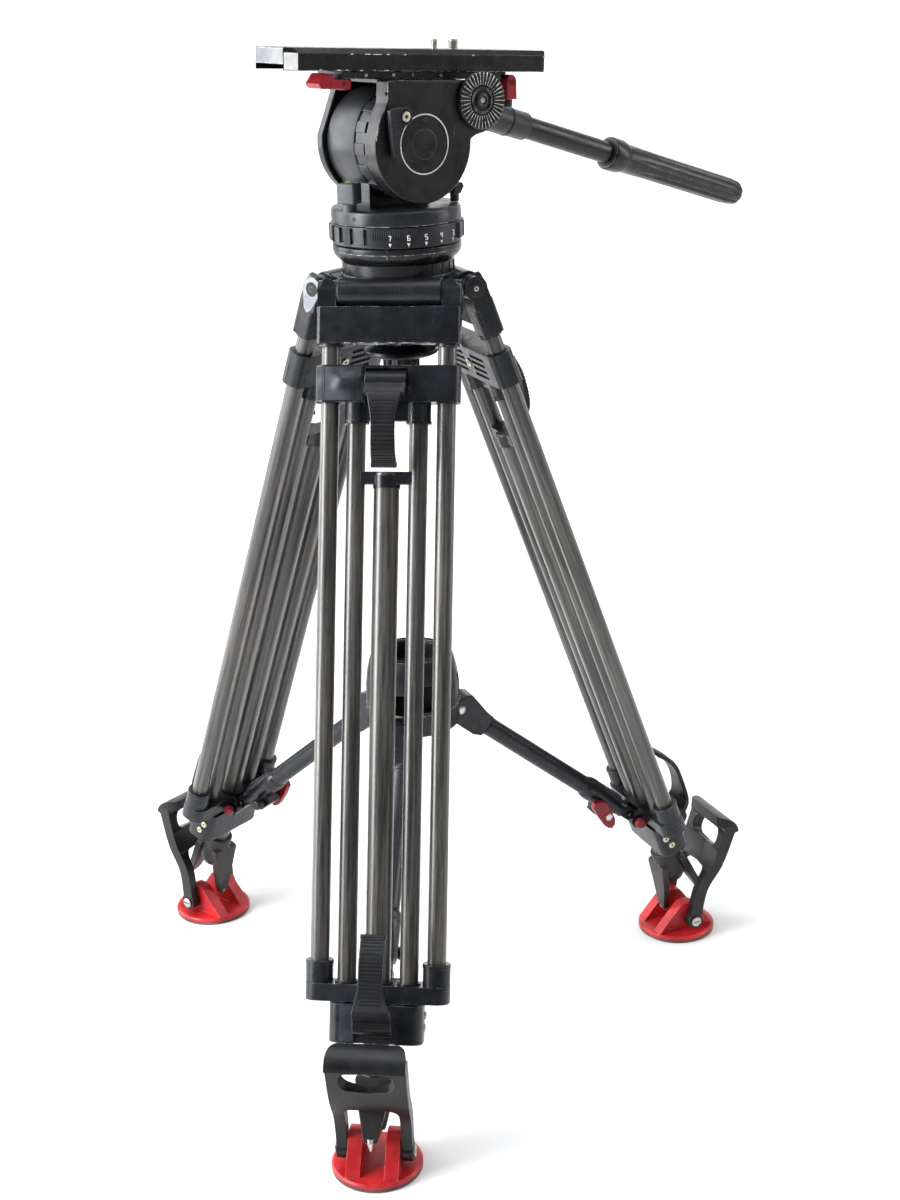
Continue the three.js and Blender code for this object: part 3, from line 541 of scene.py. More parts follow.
def upper_clamp(k, where, body):
    part = Part(f"leg{k}_upper_clamp_casting", where, body, 1.0, 3)
    part.pillow((-63.5, -14, -97), (63.5, 9.5, -65), 9.5, CASTING, 8)
    for s in SIDES:
        part.bar(10.6, -115, -90, "z", (s * INNER_X, TUBE_Y, 0), CASTING)
        part.ring(8.4, 11.2, -115.4, -112.6, "z", (s * INNER_X, TUBE_Y, 0), CASTING)
    part.cut(lambda t: [t.bar(8.7, -125, -60, "z", (s * OUTER_X, TUBE_Y, 0), BLACK_AND_SHADE) for s in SIDES])
    part.cut(lambda t: t.box((-18.8, -22, -99), (18.8, -6, -67.5), BLACK_AND_SHADE))
    part.cut(lambda t: t.box((-21, -22, -99), (21, -12.6, -63), CASTING))
    for x in (-38, 8):
        part.cut(
            lambda t, x=x: [t.box((x, 8.2, z), (x + 30, 12, z + 3.4), BLACK_AND_SHADE) for z in (-92, -86, -80, -74)]
        )
    part.done(f"leg{k}_upper_clamp", slot="casting")
    part = Part(f"leg{k}_upper_clamp_web", where, body, 0.8, 3)
    part.box((-27, -8, -113), (27, 1.5, -96), CASTING)
    part.done(slot="casting")
    # On the first leg, a pale band round the upper clamp's front-left corner is a painted highlight.
    if k == 1:
        part = Part("leg1_upper_clamp_painted_highlight", where, body, 0)
        outside = [(-22, -14.12)] + arc(-54, -4.5, 9.62, 270, 180, 10) + [(-63.62, 1)]
        inside = [(-22, -13.8)] + arc(-54, -4.5, 9.3, 270, 180, 10) + [(-63.3, 1)]
        for i in range(len(outside) - 1):
            part.prism(
                [outside[i], outside[i + 1], inside[i + 1], inside[i]], -95.6, -66.4, "z", CASTING_HIGHLIGHT,
            )
        part.done(slot="casting")
    part = Part(f"leg{k}_upper_clamp_trim", where, body, 0.2)
    socket_screw(part, "y", 9.4, (0, 0, -81), 4.4, CREAM, 1, 1.3)
    for s in SIDES:
        part.ring(8.35, 9.6, -66.2, -64.6, "z", (s * OUTER_X, TUBE_Y, 0), PLASTIC)
        part.ring(8.35, 9.6, -97.4, -95.8, "z", (s * OUTER_X, TUBE_Y, 0), PLASTIC)
    part.done(slot="casting")


def lever(k, name, where, body, cam, points, widths, cam_half, node, rib_from):
    """A bowed clamp lever with ribs on its outer face from rib_from of its length onwards."""
    part = Part(f"leg{k}_{name}", where, body, 0.9, 3)
    part.strap(points, widths, 4.2, "x", PLASTIC, 26)
    part.bar(8.6, -cam_half, cam_half, "x", (0, cam[0], cam[1]), PLASTIC, 32)
    part.strap(points[:2], (cam_half, cam_half), 5, "x", PLASTIC, 4)
    tip = points[-1]
    part.bar(2.6, -widths[-1] - 0.4, widths[-1] + 0.4, "x", (0, tip[0], tip[1]), PLASTIC, 20)
    part.done(node, slot="plastic")
    part = Part(f"leg{k}_{name}_ribs", where, body, 0.25)
    line = smooth_line(points, 60)
    for i in range(int(rib_from * 60), 58, 2):
        (y0, z0), (y1, z1) = line[i - 1], line[i + 1]
        t = Vector((y1 - y0, z1 - z0)).normalized()
        n = Vector((-t.y, t.x))
        n = n if n.x < 0 else -n
        y, z = Vector(line[i]) + n * 2.1
        part.bar(0.72, -widths[-1] + 1.2, widths[-1] - 1.2, "x", (0, y, z), RIB, 10)
    part.done(slot="plastic")


def inner_stage(k, where, body):
    part = Part(f"leg{k}_inner_tubes", where, body, 0.3)
    for s in SIDES:
        part.bar(TUBE_RADIUS, -625, -91, "z", (s * INNER_X, TUBE_Y, 0), CARBON)
    part.done(slot="carbon")
    part = Part(f"leg{k}_lower_clamp_body", where, body, 0.9, 3)
    part.pillow((-41, -17, -651), (41, 14, -617.5), 10, CASTING)
    part.cut(lambda t: t.bar(11.7, -655, -610, "z", CENTRE, BLACK_AND_SHADE))
    part.cut(lambda t: t.box((-17.8, -30, -655), (17.8, -15.4, -610), BLACK_AND_SHADE))
    part.cut(lambda t: t.bar(9.6, -17.8, 17.8, "x", (0, -25, -632), BLACK_AND_SHADE))
    part.done(f"leg{k}_inner_stage", slot="casting")
    part = Part(f"leg{k}_lower_clamp_trim", where, body, 0.25)
    for s in SIDES:
        for y, z in ((6, -629), (2, -639)):
            socket_screw(part, "x", s * 40.9, (0, y, z), 3.3, CREAM, s, 1.2)
    for z in (-648, -645, -642):
        part.box((-15, -16.4, z), (15, -15.2, z + 1.3), PLASTIC)
    part.ring(11.55, 13.6, -652.2, -650.6, "z", CENTRE, RIM_GREY_AND_HIGHLIGHT)
    # On the first leg, a pale panel left of the lower clamp's lever recess is a painted highlight.
    if k == 1:
        part.box((-31, -17.12, -649.6), (-18.6, -16.8, -618.9), CASTING_HIGHLIGHT)
    part.done(slot="casting")


def lower_stage(k, where, body):
    part = Part(f"leg{k}_centre_tube", where, body, 0.3)
    part.bar(CENTRE_TUBE_RADIUS, -672, -158, "z", CENTRE, CARBON)
    part.done(slot="carbon")
    part = Part(f"leg{k}_centre_cap", where, body, 0.8, 3)
    part.box((-22, -9.5, -168), (22, 5.5, -157), CASTING)
    part.bar(12, -171.5, -160, "z", CENTRE, CASTING)
    part.cut(lambda t: [t.bar(8.6, -175, -150, "z", (s * INNER_X, TUBE_Y, 0), BLACK_AND_SHADE) for s in SIDES])
    part.done(slot="casting")
    part = Part(f"leg{k}_foot_casting", where, body, 0.9, 3)
    part.turned([(0, -667), (14.4, -667), (15.2, -668.5), (15, -695), (13, -700), (9, -706), (0, -707)], "z",
                CENTRE, PRONG)
    for s in SIDES:
        levels = ((-679, 8, 14.5, 15.5), (-682, 8, 16, 16), (-706, 12.5, 20.2, 12), (-726, 17, 24.5, 7.6),
                  (-733.5, 19, 26, 5.6))
        rings = []
        for z, inner, outer, half in levels:
            rings.append([(-half, TUBE_Y + s * inner, z), (half, TUBE_Y + s * inner, z),
                          (half, TUBE_Y + s * outer, z), (-half, TUBE_Y + s * outer, z)])
        part.add(rings, PRONG)
    part.done(f"leg{k}_lower_stage", slot="casting")
    part = Part(f"leg{k}_spikes", where, body, 0.15)
    for s in SIDES:
        part.turned([(0, -730), (3.9, -730), (3.9, -733.6), (3.4, -734.2), (0.5, -740.9), (0, -741)], "z",
                    (0, TUBE_Y + s * 22.5, 0), STEEL, 24)
    part.bar(11.9, -668.5, -666.8, "z", CENTRE, RIM_GREY_AND_HIGHLIGHT)
    part.done(slot="steel")


def release_pin(k, where, body):
    part = Part(f"leg{k}_pin_buttons", where, body, 0.8, 3)
    y, z = YOKE_PIVOT
    for s in SIDES:
        part.turned(
            [(0, s * 20.5), (5.6, s * 20.5), (5.6, s * 24.8), (4.6, s * 26), (0, s * 26)], "x", (0, y, z),
            RED, 32,
        )
    part.bar(3, -23, 23, "x", (0, y, z), STEEL, 24)
    part.done(f"leg{k}_release_pin", slot="red")


def pad(k, where, body):
    part = Part(f"leg{k}_pad_dish", where, body, 0.7, 3)
    c = (0, -PAD_CENTRE, 0)
    part.turned(
        [(0, 2.6), (39.6, 2.6), (PAD_RADIUS, 3.3), (PAD_RADIUS, 5.4), (38.6, 7), (31, 7.6), (0, 7.8)], "z",
        c, PAD_RED, 72,
    )
    for s in SIDES:
        fin = [(-30.5, 7), (-31, 7.6), (-14, 31), (-10.5, 35.5), (-5, 38), (1.5, 38), (7, 36.5), (12, 31),
               (33, 7.5), (33.5, 7)]
        part.prism([(-PAD_CENTRE + y, z) for y, z in fin], s * 10.5, s * 23, "x", PAD_RED)
    part.done(f"leg{k}_pad", slot="pad_red")
    part = Part(f"leg{k}_pad_sole", where, body, 0.3)
    part.turned([(0, 0), (39.4, 0), (40.1, 0.9), (40.1, 2.7), (0, 2.8)], "z", c, SOLE, 72)
    part.done(slot="pad_red")
    part = Part(f"leg{k}_pad_pivots", where, body, 0.2)
    at = (0, -PAD_PIVOT[0], PAD_PIVOT[1])
    for s in SIDES:
        part.turned(
            [
                (0, s * 20), (3.4, s * 20), (3.4, s * 34.3), (5.4, s * 34.5), (5.4, s * 35.2),
                (4.8, s * 35.5), (0, s * 35.5),
            ],
            "x", at, STEEL, 32,
        )
        # The screw's slot is a thin near-black box: painted shade.
        x0, x1 = sorted((s * 35.4, s * 35.56))
        part.box((x0, at[1] - 4.4, at[2] - 0.55), (x1, at[1] + 4.4, at[2] + 0.55), BLACK_AND_SHADE)
    part.done(slot="steel")


def handle(k, where, body):
    """The foot's stirrup: two bowed sides, a grip across the top and a bar under a rounded window."""
    part = Part(f"leg{k}_foot_strap", where, body, 3.4, 4)
    path = [(0, 0), (-8, 36), (-26, 64), (-40, 101)]
    steps, fillet = 88, 8.5
    for s in SIDES:
        rings = []
        line = smooth_line(path, steps)
        for i, p in enumerate(line):
            a, b = line[max(i - 1, 0)], line[min(i + 1, steps)]
            t = Vector((b[0] - a[0], b[1] - a[1])).normalized()
            n = Vector((-t.y, t.x)) * (6.6 - 0.4 * math.sin(math.pi * i / steps))
            gap = min(53 - p[1], fillet) if p[1] < 65 else min(p[1] - 76, 95 - p[1], fillet)
            inner = 23.9 - fillet + math.sqrt(fillet ** 2 - (fillet - gap) ** 2) if gap >= 0 else -0.4
            outer = 33.2 + 1.7 * i / steps
            back = n * max(inner, 0) / 23.9
            rings.append([(s * inner, p[0] + n.x, p[1] + n.y), (s * outer, p[0] + n.x, p[1] + n.y),
                          (s * outer, p[0] - n.x, p[1] - n.y), (s * inner, p[0] - back.x, p[1] - back.y)])
        part.add(rings, RUBBER)
        part.bar(8.6, s * 23.9, s * 33.6, "x", ZERO, RUBBER, 40)
    part.strap([(-44, 95), (-42.6, 100), (-39.4, 104), (-34.5, 106.6), (-30, 107.7), (-27, 108)],
               (34.9, 34.9, 34.6, 33.2, 30.6, 26.4), 11, "x", RUBBER, 20)
    part.done(f"leg{k}_handle", slot="rubber")


def spreader_arm(k, where, body, wing_body):
    part = Part(f"leg{k}_arm_fork", where, body, 0.7, 3)
    part.bar(6.4, -9.5, 9.5, "x", ZERO, CASTING)
    part.box((-9.5, 0, -6.2), (9.5, 14, 6.2), CASTING)
    part.bar(8.6, 12, 23.5, "y", ZERO, CASTING)
    part.bar(6.6, 20, 60, "y", ZERO, ANODISED)
    part.done(f"leg{k}_spread_fork", slot="casting")
    part = Part(f"leg{k}_arm_tube", where, body, 0.7, 3)
    part.turned(
        [
            (0, 24), (11, 24), (11.6, 25.5), (11.6, 66), (10.8, 69), (9.6, 70.5), (9.4, 72), (9.4, 216),
            (0, 216),
        ],
        "y", ZERO, CASTING, 56,
    )
    part.box((-8, 27, -19), (8, 46, -6), CASTING)
    knuckle = [
        (213, -10.8), (213, 10.4), (224, 12), (ARM_LENGTH - 2, 18), (ARM_LENGTH + 3.4, 15),
        (ARM_LENGTH + 6, 10), (ARM_LENGTH + 8, 0), (ARM_LENGTH + 4, -10), (ARM_LENGTH - 3, -14),
        (222, -14.3),
    ]
    part.prism(knuckle, -10.5, 10.5, "x", CASTING)
    part.done(f"leg{k}_spread_tube", slot="arm_tube")
    part = Part(f"leg{k}_arm_trim", where, body, 0.2)
    part.ring(9.3, 10.2, 208, 211, "y", ZERO, PLASTIC)
    part.ring(11.5, 12.0, 60, 62, "y", ZERO, PLASTIC)
    for s in SIDES:
        slot_screw(part, "x", s * 10.4, (0, ARM_LENGTH, 0), 4.2, s)
        socket_screw(part, "x", s * 9.4, (0, 6, 0), 2.2, CREAM, s, 0.8)
    part.done(slot="steel")
    part = Part(f"leg{k}_wing_lever", where, wing_body, 1.4, 3)
    y, z = 35.5, -12.5
    blade = [
        (24, 4), (19, 8.6), (12, 11), (4, 8), (-8, 2), (-12, -3), (-12, -8), (-8, -10), (-3, -10), (10, -6),
        (22, -1),
    ]
    part.prism([(y + a, z + b) for a, b in blade], -20, -13.2, "x", RED)
    part.bar(5, -14, -9.2, "x", (0, y, z), PLASTIC, 28)
    part.turned([(0, 9.6), (5.4, 9.6), (5.4, 17.8), (4.4, 19), (0, 19)], "x", (0, y, z), PLASTIC, 28)
    part.done(f"leg{k}_spread_wing", slot="red")
    part = Part(f"leg{k}_wing_screw", where, wing_body, 0.2)
    part.bar(3, -19, 12, "x", (0, y, z), STEEL, 20)
    part.turned([(0, -21), (3.4, -21), (3.8, -20.6), (3.8, -19.6), (0, -19.6)], "x", (0, y, z), STEEL, 24)
    for i in range(12):
        a = i * math.pi / 6
        part.bar(0.5, 10.6, 18, "x", (0, y + 5.4 * math.cos(a), z + 5.4 * math.sin(a)), PLASTIC, 8)
    part.done(slot="steel")


def make_leg(k, azimuth, lean):
    upright = ORIGIN @ turn(rz=azimuth + 90)
    slanted = upright @ shift(0, -HINGE_RADIUS, HINGE_HEIGHT) @ turn(rx=-LEG_ANGLE)
    p = f"leg{k}_"
    outer_stage(k, slanted, p + "upper")
    yoke(k, slanted, p + "upper")
    upper_clamp(k, slanted, p + "middle")
    inner_stage(k, slanted, p + "middle")
    lower_stage(k, slanted, p + "lower")
    lever(k, "upper_latch_lever", slanted, p + "upper_latch", (-15, -79),
          [(-19, -80), (-27, -92), (-31, -112), (-28, -138), (-20, -152)], (17.6, 15, 10.8, 10.6, 11), 18,
          f"leg{k}_upper_lever", 0.34)
    lever(k, "lower_latch_lever", slanted, p + "lower_latch", (-25, -632),
          [(-27, -632), (-39, -620), (-43, -598), (-41, -576), (-30, -557)], (16.8, 16.4, 11, 10.6, 10.8), 17,
          f"leg{k}_lower_lever", 0.36)
    release_pin(k, slanted, p + "pin")
    pad(k, upright, p + "foot")
    handle(k, upright @ shift(0, -PAD_PIVOT[0], PAD_PIVOT[1]) @ turn(rx=-lean), p + "foot_handle")
    spreader_arm(k, upright @ shift(0, -ARM_FOOT[0], ARM_FOOT[1]) @ turn(rx=ARM_SLOPE), p + "arm", p + "wing")


# ---- crown and hub ----
def crown():
    part = Part("crown_cup", ORIGIN, "crown", 0.8, 3)
    part.turned(
        [
            (0, 674), (33, 674), (36, 676.5), (44, 690), (49.5, 706), (52, 709.5), (57, 712), (57, 729.5),
            (55.5, 731), (53.4, 731), (52.4, 730), (51.2, 727), (50.4, 719), (44, 704), (24, 685), (0, 685),
        ],
        "z", ZERO, CASTING, 96,
    )
    part.cut(lambda t: t.bar(24, 660, 700, "z", ZERO, BLACK_AND_SHADE))
    part.done("crown", slot="casting")
    for k, azimuth in enumerate(LEG_AZIMUTHS, 1):
        where = ORIGIN @ turn(rz=azimuth + 90)
        part = Part(f"crown_barrel_{k}", where, "crown", 0.8, 3)
        part.turned([(0, -45.8), (12.4, -45.8), (13.2, -45), (13.2, 45), (12.4, 45.8), (0, 45.8)], "x",
                    (0, -HINGE_RADIUS, HINGE_HEIGHT), CASTING, 64)
        part.prism([(-60.5, 723), (-46, 735), (-30, 731), (-30, 712), (-55, 712)], -44.5, 44.5, "x", CASTING)
        part.done(slot="casting")


def hub():
    part = Part("hub_dome", ORIGIN, "hub", 0.8, 3)
    part.turned(
        [
            (0, 296), (41, 296), (43.6, 297.4), (45, 301), (45, 338), (43.4, 352), (40.4, 364),
            (37.6, 369.4), (35.5, 370), (31, 370), (29.4, 368.6), (28.4, 362), (28, 352), (0, 352),
        ],
        "z", ZERO, PLASTIC, 96,
    )
    for azimuth in LEG_AZIMUTHS:
        r = Matrix.Rotation(math.radians(azimuth + 90), 3, "Z")

        def opening(t, spans, back, levels, r=r):
            for x0, x1 in spans:
                corners = [(x0, -60), (x1, -60), (x1, back), (x0, back)]
                t.add([[r @ Vector((x, y, z)) for x, y in corners] for z in levels], BLACK_AND_SHADE)

        part.cut(lambda t: opening(t, [(-11.4, 11.4)], -20, (280, 340)))
        part.cut(lambda t: opening(t, [(-16, -26), (16, 26)], -31, (322, 348)))
    part.done("spreader_hub", slot="plastic")
    part = Part("hub_rims", ORIGIN, "hub", 0.25)
    part.ring(43.8, 45.4, 318, 319.6, "z", ZERO, RIM_GREY_AND_HIGHLIGHT, 72)
    part.ring(30.6, 36, 369.2, 370.0, "z", ZERO, RIM_GREY_AND_HIGHLIGHT, 72)
    # A near-black disc on the floor of the hub's hollow top: painted shade.
    part.ring(0.5, 27.8, 352, 353, "z", ZERO, BLACK_AND_SHADE, 48)
    part.bar(9, 352, 355, "z", ZERO, RIM_GREY_AND_HIGHLIGHT, 32)
    part.done(slot="plastic")


# ---- head base and pan ----
def head_base():
    part = Part("half_ball", HEAD, "head_base", 0.5)
    ball = [(50 * math.cos(math.radians(a)), 730 + 50 * math.sin(math.radians(a))) for a in range(-52, 1, 4)]
    part.turned(
        [
            (0, 690.6), *ball, (50.2, 745), (51.4, 746.4), (54.5, 749), (56.8, 752.4), (57.5, 755.6),
            (57.3, 759.8), (56.4, 760.6), (50.4, 760.8), (50.4, 779.2), (0, 779.2),
        ],
        "z", ZERO, ANODISED, 96,
    )
    part.bar(6, 648, 695, "z", ZERO, STEEL, 32)
    part.done("head_base", slot="anodised")
    part = Part("half_ball_rims", HEAD, "head_base", 0.2)
    part.ring(50.3, 57.6, 755.2, 755.9, "z", ZERO, RIM_GREY_AND_HIGHLIGHT, 96)
    part.ring(49.6, 50.6, 732.6, 734.4, "z", ZERO, RIM_GREY_AND_HIGHLIGHT, 96)
    for i in range(9):
        a = math.radians(-88 + 14 * i)
        x, y = polar(50.2, a)
        part.box((x - 0.5, y - 0.5, 735), (x + 0.5, y + 0.5, 744.5), BLACK_AND_SHADE)
    part.done(slot="anodised")


def bowl_knob():
    part = Part("levelling_knob", HEAD, "bowl_knob", 0.9, 3)
    part.turned(
        [(0, 659), (31, 659), (33.4, 660.2), (34, 662), (33, 664.6), (20.5, 668.8), (19, 669), (0, 669)],
        "z", ZERO, PLASTIC, 72,
    )
    outline = []
    for i in range(96):
        a = 2 * math.pi * i / 96
        r = 15.6 + 1.3 * math.cos(8 * a)
        outline.append(polar(r, a))
    part.prism(outline, 624, 658, "z", PLASTIC)
    part.turned([(0, 622), (11, 622), (13.6, 624.2), (0, 625)], "z", ZERO, PLASTIC, 48)
    part.done("bowl_knob", slot="plastic")


DIGIT_LINES = {
    "3": [(0, 4, 2, 4), (2, 4, 2, 0), (0.4, 2, 2, 2), (0, 0, 2, 0)],
    "4": [(0, 4, 0, 2), (0, 2, 2, 2), (1.6, 4, 1.6, 0)],
    "5": [(2, 4, 0, 4), (0, 4, 0, 2), (0, 2, 2, 2), (2, 2, 2, 0), (2, 0, 0, 0)],
    "6": [(2, 4, 0, 4), (0, 4, 0, 0), (0, 0, 2, 0), (2, 0, 2, 2), (2, 2, 0, 2)],
    "7": [(0, 4, 2, 4), (2, 4, 0.8, 0)],
}


def drag_ring():
    """The pan drag ring: blocks round most of it, fine ribs, and the numbered steps in front."""
    part = Part("pan_drag_grip", HEAD, "pan_drag", 0.5, 2)
    part.turned([(51.4, 761.4), (57, 761.4), (57.6, 762.2), (57.6, 778.4), (57, 779.1), (51.4, 779.1)], "z",
                ZERO, RING, 96)
    for i in range(19):
        grip_block(part, math.radians(302 + 14.2 * i), (57.2, (0, 0.055, 0.11, 0.165)),
                   (60.1, (0.158, 0.11, 0.055, 0.007)), (764.5, 778.2), "z")
    part.done("pan_drag_ring", slot="plastic")
    part = Part("pan_drag_ribs", HEAD, "pan_drag", 0)
    for i in range(20):
        a = math.radians(214 + 2 * i)
        part.bar(0.55, 769.5, 778.2, "z", (*polar(57.6, a), 0), RIB, 8)
    part.done(slot="plastic")
    part = Part("pan_drag_marks", HEAD, "pan_drag", 0)
    for i, digit in enumerate("76543"):
        r = Matrix.Rotation(math.radians(229.3 + 16 * i), 3, "Z")
        for y0, z0, y1, z1 in DIGIT_LINES[digit]:
            a, b = Vector((y0 - 1, z0)) * 1.05, Vector((y1 - 1, z1)) * 1.05
            side = (b - a).normalized()
            side = Vector((-side.y, side.x)) * 0.36
            edge = [a + side, a - side, b - side, b + side]
            rings = [[r @ Vector((x, v.x, v.y + 768.4)) for v in edge] for x in (57.5, 58.35)]
            part.add(rings, LINE)
        tip = [(-1.4, 766.2), (1.4, 766.2), (0, 762.8)]
        part.add([[r @ Vector((x, y, z)) for y, z in tip] for x in (57.5, 57.75)], LINE)
    part.done(slot="plastic")


def pan_unit():
    part = Part("turntable", HEAD, "pan", 0.7, 3)
    part.turned(
        [
            (0, 779.7), (57, 779.7), (57.6, 780.6), (57.6, 789.6), (56.8, 791.6), (54.6, 792.8), (40, 793),
            (0, 793),
        ],
        "z", ZERO, RING, 96,
    )
    part.bar(6, 790, 798, "z", (-51.6, -4.2, 0), HOUSING, 32)
    part.done("pan_body", slot="anodised")
    part = Part("drum", HEAD, "pan", 0.8, 3)
    part.box((-32, -6.8, 790), (32, 36.3, 830), ANODISED)
    part.turned([(0, -6.8), (44.6, -6.8), (46.2, -5.8), (46.5, -4), (46.5, 34), (46, 36), (0, 36.4)], "y",
                (0, 0, TILT_HEIGHT), DRUM, 96)
    part.bar(26, -27.6, -6, "y", (0, 0, TILT_HEIGHT), ANODISED, 64)
    part.bar(13, -40, 42.6, "y", (0, 0, TILT_HEIGHT), ANODISED)
    part.done(slot="anodised")
    part = Part("turntable_trim", HEAD, "pan", 0.2)
    part.ring(56.9, 57.75, 780, 780.5, "z", ZERO, RIM_GREY_AND_HIGHLIGHT, 96)
    # Small near-black circles round the turntable stand for holes: painted shade.
    for degrees in (196, 250, 272, 330, 20, 70, 120, 150):
        r = Matrix.Rotation(math.radians(degrees), 3, "Z")
        ring = [[r @ Vector((x, 1.9 * math.cos(t), 786 + 1.9 * math.sin(t)))
                 for t in [2 * math.pi * i / 16 for i in range(16)]] for x in (56.6, 57.72)]
        part.add(ring, BLACK_AND_SHADE)
    part.ring(44.2, 44.9, -7.2, -6.6, "y", (0, 0, TILT_HEIGHT), BLACK_AND_SHADE, 72)
    part.done(slot="anodised")
    where = HEAD @ shift(-51.6, -4.2, 798.3) @ turn(rz=-66)
    part = Part("level_housing", where, "pan", 1.2, 3)
    part.pillow((-9, -7, 0), (9, 7, 17.5), 2, HOUSING)
    part.done("bubble_housing", slot="grey")
    part = Part("level_vial", where, "pan", 0.15)
    part.ring(4.4, 5.4, 17.2, 17.9, "z", ZERO, BLACK_AND_SHADE, 40)
    part.turned([(0, 17), (4.4, 17), (4.2, 17.7), (2, 18.1), (0, 18.15)], "z", ZERO, CLEAR, 40)
    part.ring(1.6, 1.9, 18.05, 18.15, "z", ZERO, BLACK_AND_SHADE, 24)
    part.done(slot="grey")


def pan_brake():
    part = Part("pan_lock_lever", HEAD, "pan_lock", 0.6, 3)
    part.bar(4, 793.4, 801, "z", (44, -28, 0), PLASTIC, 32)
    part.prism([(40, 800), (48, 800), (52, 806), (50, 809.5), (42, 806)], -32, -24, "y", PLASTIC)
    part.bar(2, 805.5, 807.2, "z", (44, -28, 0), STEEL, 24)
    part.done("pan_brake", slot="plastic")


# ---- tilting parts ----
CHEEK = [(56, 7), (64, 9), (73, 12.5), (80, 17), (84.5, 24), (86, 33), (82, 43), (75, 49.5), (66, 52.5)]


def tilt_unit():
    part = Part("cheeks", TILT, "tilt", 1.6, 4)
    around = arc(0, 0, 50.5, 176, 364, 60)
    near = [(-39, 52.5), (-39, 38), (-40, 33), (-44.5, 24)]
    part.prism(around + CHEEK + near, -46, -28.2, "y", ANODISED)
    part.prism(around + CHEEK + [(-33, 52.5)], 36.9, 46, "y", ANODISED)
    part.done("tilt_body", slot="anodised")
    part = Part("bridge", TILT, "tilt", 0.6, 2)
    part.box((-33, -45.8, 49.4), (52, 45.8, 52.9), ANODISED)
    part.bar(11, -36, 40, "y", (PAN_ARM_PIVOT[0] + 3, 0, PAN_ARM_PIVOT[1] + 3), ANODISED)
    part.done(slot="anodised")
    part = Part("cheek_trim", TILT, "tilt", 0.12)
    part.ring(24.5, 25.5, -46.15, -45.8, "y", (0.2, 0, 0), LINE, 96)
    part.ring(12.2, 12.8, -46.12, -45.8, "y", (0.2, 0, 0), FAINT, 72)
    # The near-black dots inside the plastic rings stand for holes: painted shade.
    for x, z in ((0.2, 20.5), (0.2, -20.5), (-40.5, 42), (20.7, 0)):
        part.ring(1.0, 1.8, -46.2, -45.8, "y", (x, 0, z), PLASTIC, 20)
        part.bar(1.1, -46.1, -45.7, "y", (x, 0, z), BLACK_AND_SHADE, 12)
    # A pale band along the near cheek's front edge: painted highlight, the window's reflection on that face.
    front = [(-50.2, 3), (-47.6, 18), (-44.8, 24.6), (-40.3, 33.4), (-39.3, 38), (-39.3, 51.6)]
    edge = [(x + 0.55, z) for x, z in front]
    for (x0, z0), (x1, z1) in zip(edge, edge[1:]):
        part.prism([(x0 - 0.5, z0), (x0 + 0.35, z0), (x1 + 0.35, z1), (x1 - 0.5, z1)], -46.1, -45.7, "y", RIM_GREY_AND_HIGHLIGHT)
    for x, z in ((-36, 44), (-28, -36), (40, 30), (60, 44)):
        socket_screw(part, "y", 46, (x, 0, z), 2.6, STEEL, 1, 0.0)
    part.ring(27, 28.2, 45.8, 46.15, "y", ZERO, RIM_GREY_AND_HIGHLIGHT, 72)
    part.bar(10, 45.7, 46.2, "y", ZERO, PLASTIC, 48)
    part.done(slot="anodised")


def tilt_ring():
    part = Part("tilt_drag_grip", TILT, "tilt_drag", 0.6, 2)
    part.turned([(26.8, -26.6), (45.4, -26.6), (46, -25.8), (46, -9), (45.4, -8.2), (26.8, -8.2)], "y", ZERO,
                RING, 96)
    blocks = 16
    for i in range(blocks):
        grip_block(part, 2 * math.pi * i / blocks, (45.4, (0, 0.07, 0.14, 0.21)),
                   (48.4, (0.205, 0.14, 0.07, 0.005)), (-24.4, -10.4), "y")
    part.done("tilt_drag_ring", slot="plastic")


def tilt_brake():
    part = Part("tilt_lock_lever", TILT, "tilt_lock", 0.9, 3)
    part.bar(7.4, -53.9, -46.4, "y", (-25.2, 0, 23.5), PLASTIC, 40)
    part.prism(
        [
            (-41.5, 28.5), (-38.5, 30.4), (-33, 31), (-22, 31), (-25, 15), (-31, 12), (-30, -4),
            (-28.5, -9.5), (-36, -10.5), (-39, 6),
        ],
        -53.9, -48.5, "y", PLASTIC,
    )
    part.done("tilt_brake", slot="plastic")
    part = Part("tilt_lock_trim", TILT, "tilt_lock", 0.15)
    socket_screw(part, "y", -53.9, (-25.2, 0, 23.5), 4.2, CREAM, -1, 0.6)
    for i in range(15):
        z = -9 + 2.1 * i
        left = -36 - (z + 10.5) * 0.15
        part.bar(0.5, left - 0.3, left + 5, "x", (0, -53.85, z), RIB, 8)
        part.bar(0.5, -53.6, -48.9, "y", (left + 0.15, 0, z), RIB, 8)
    part.done(slot="plastic")


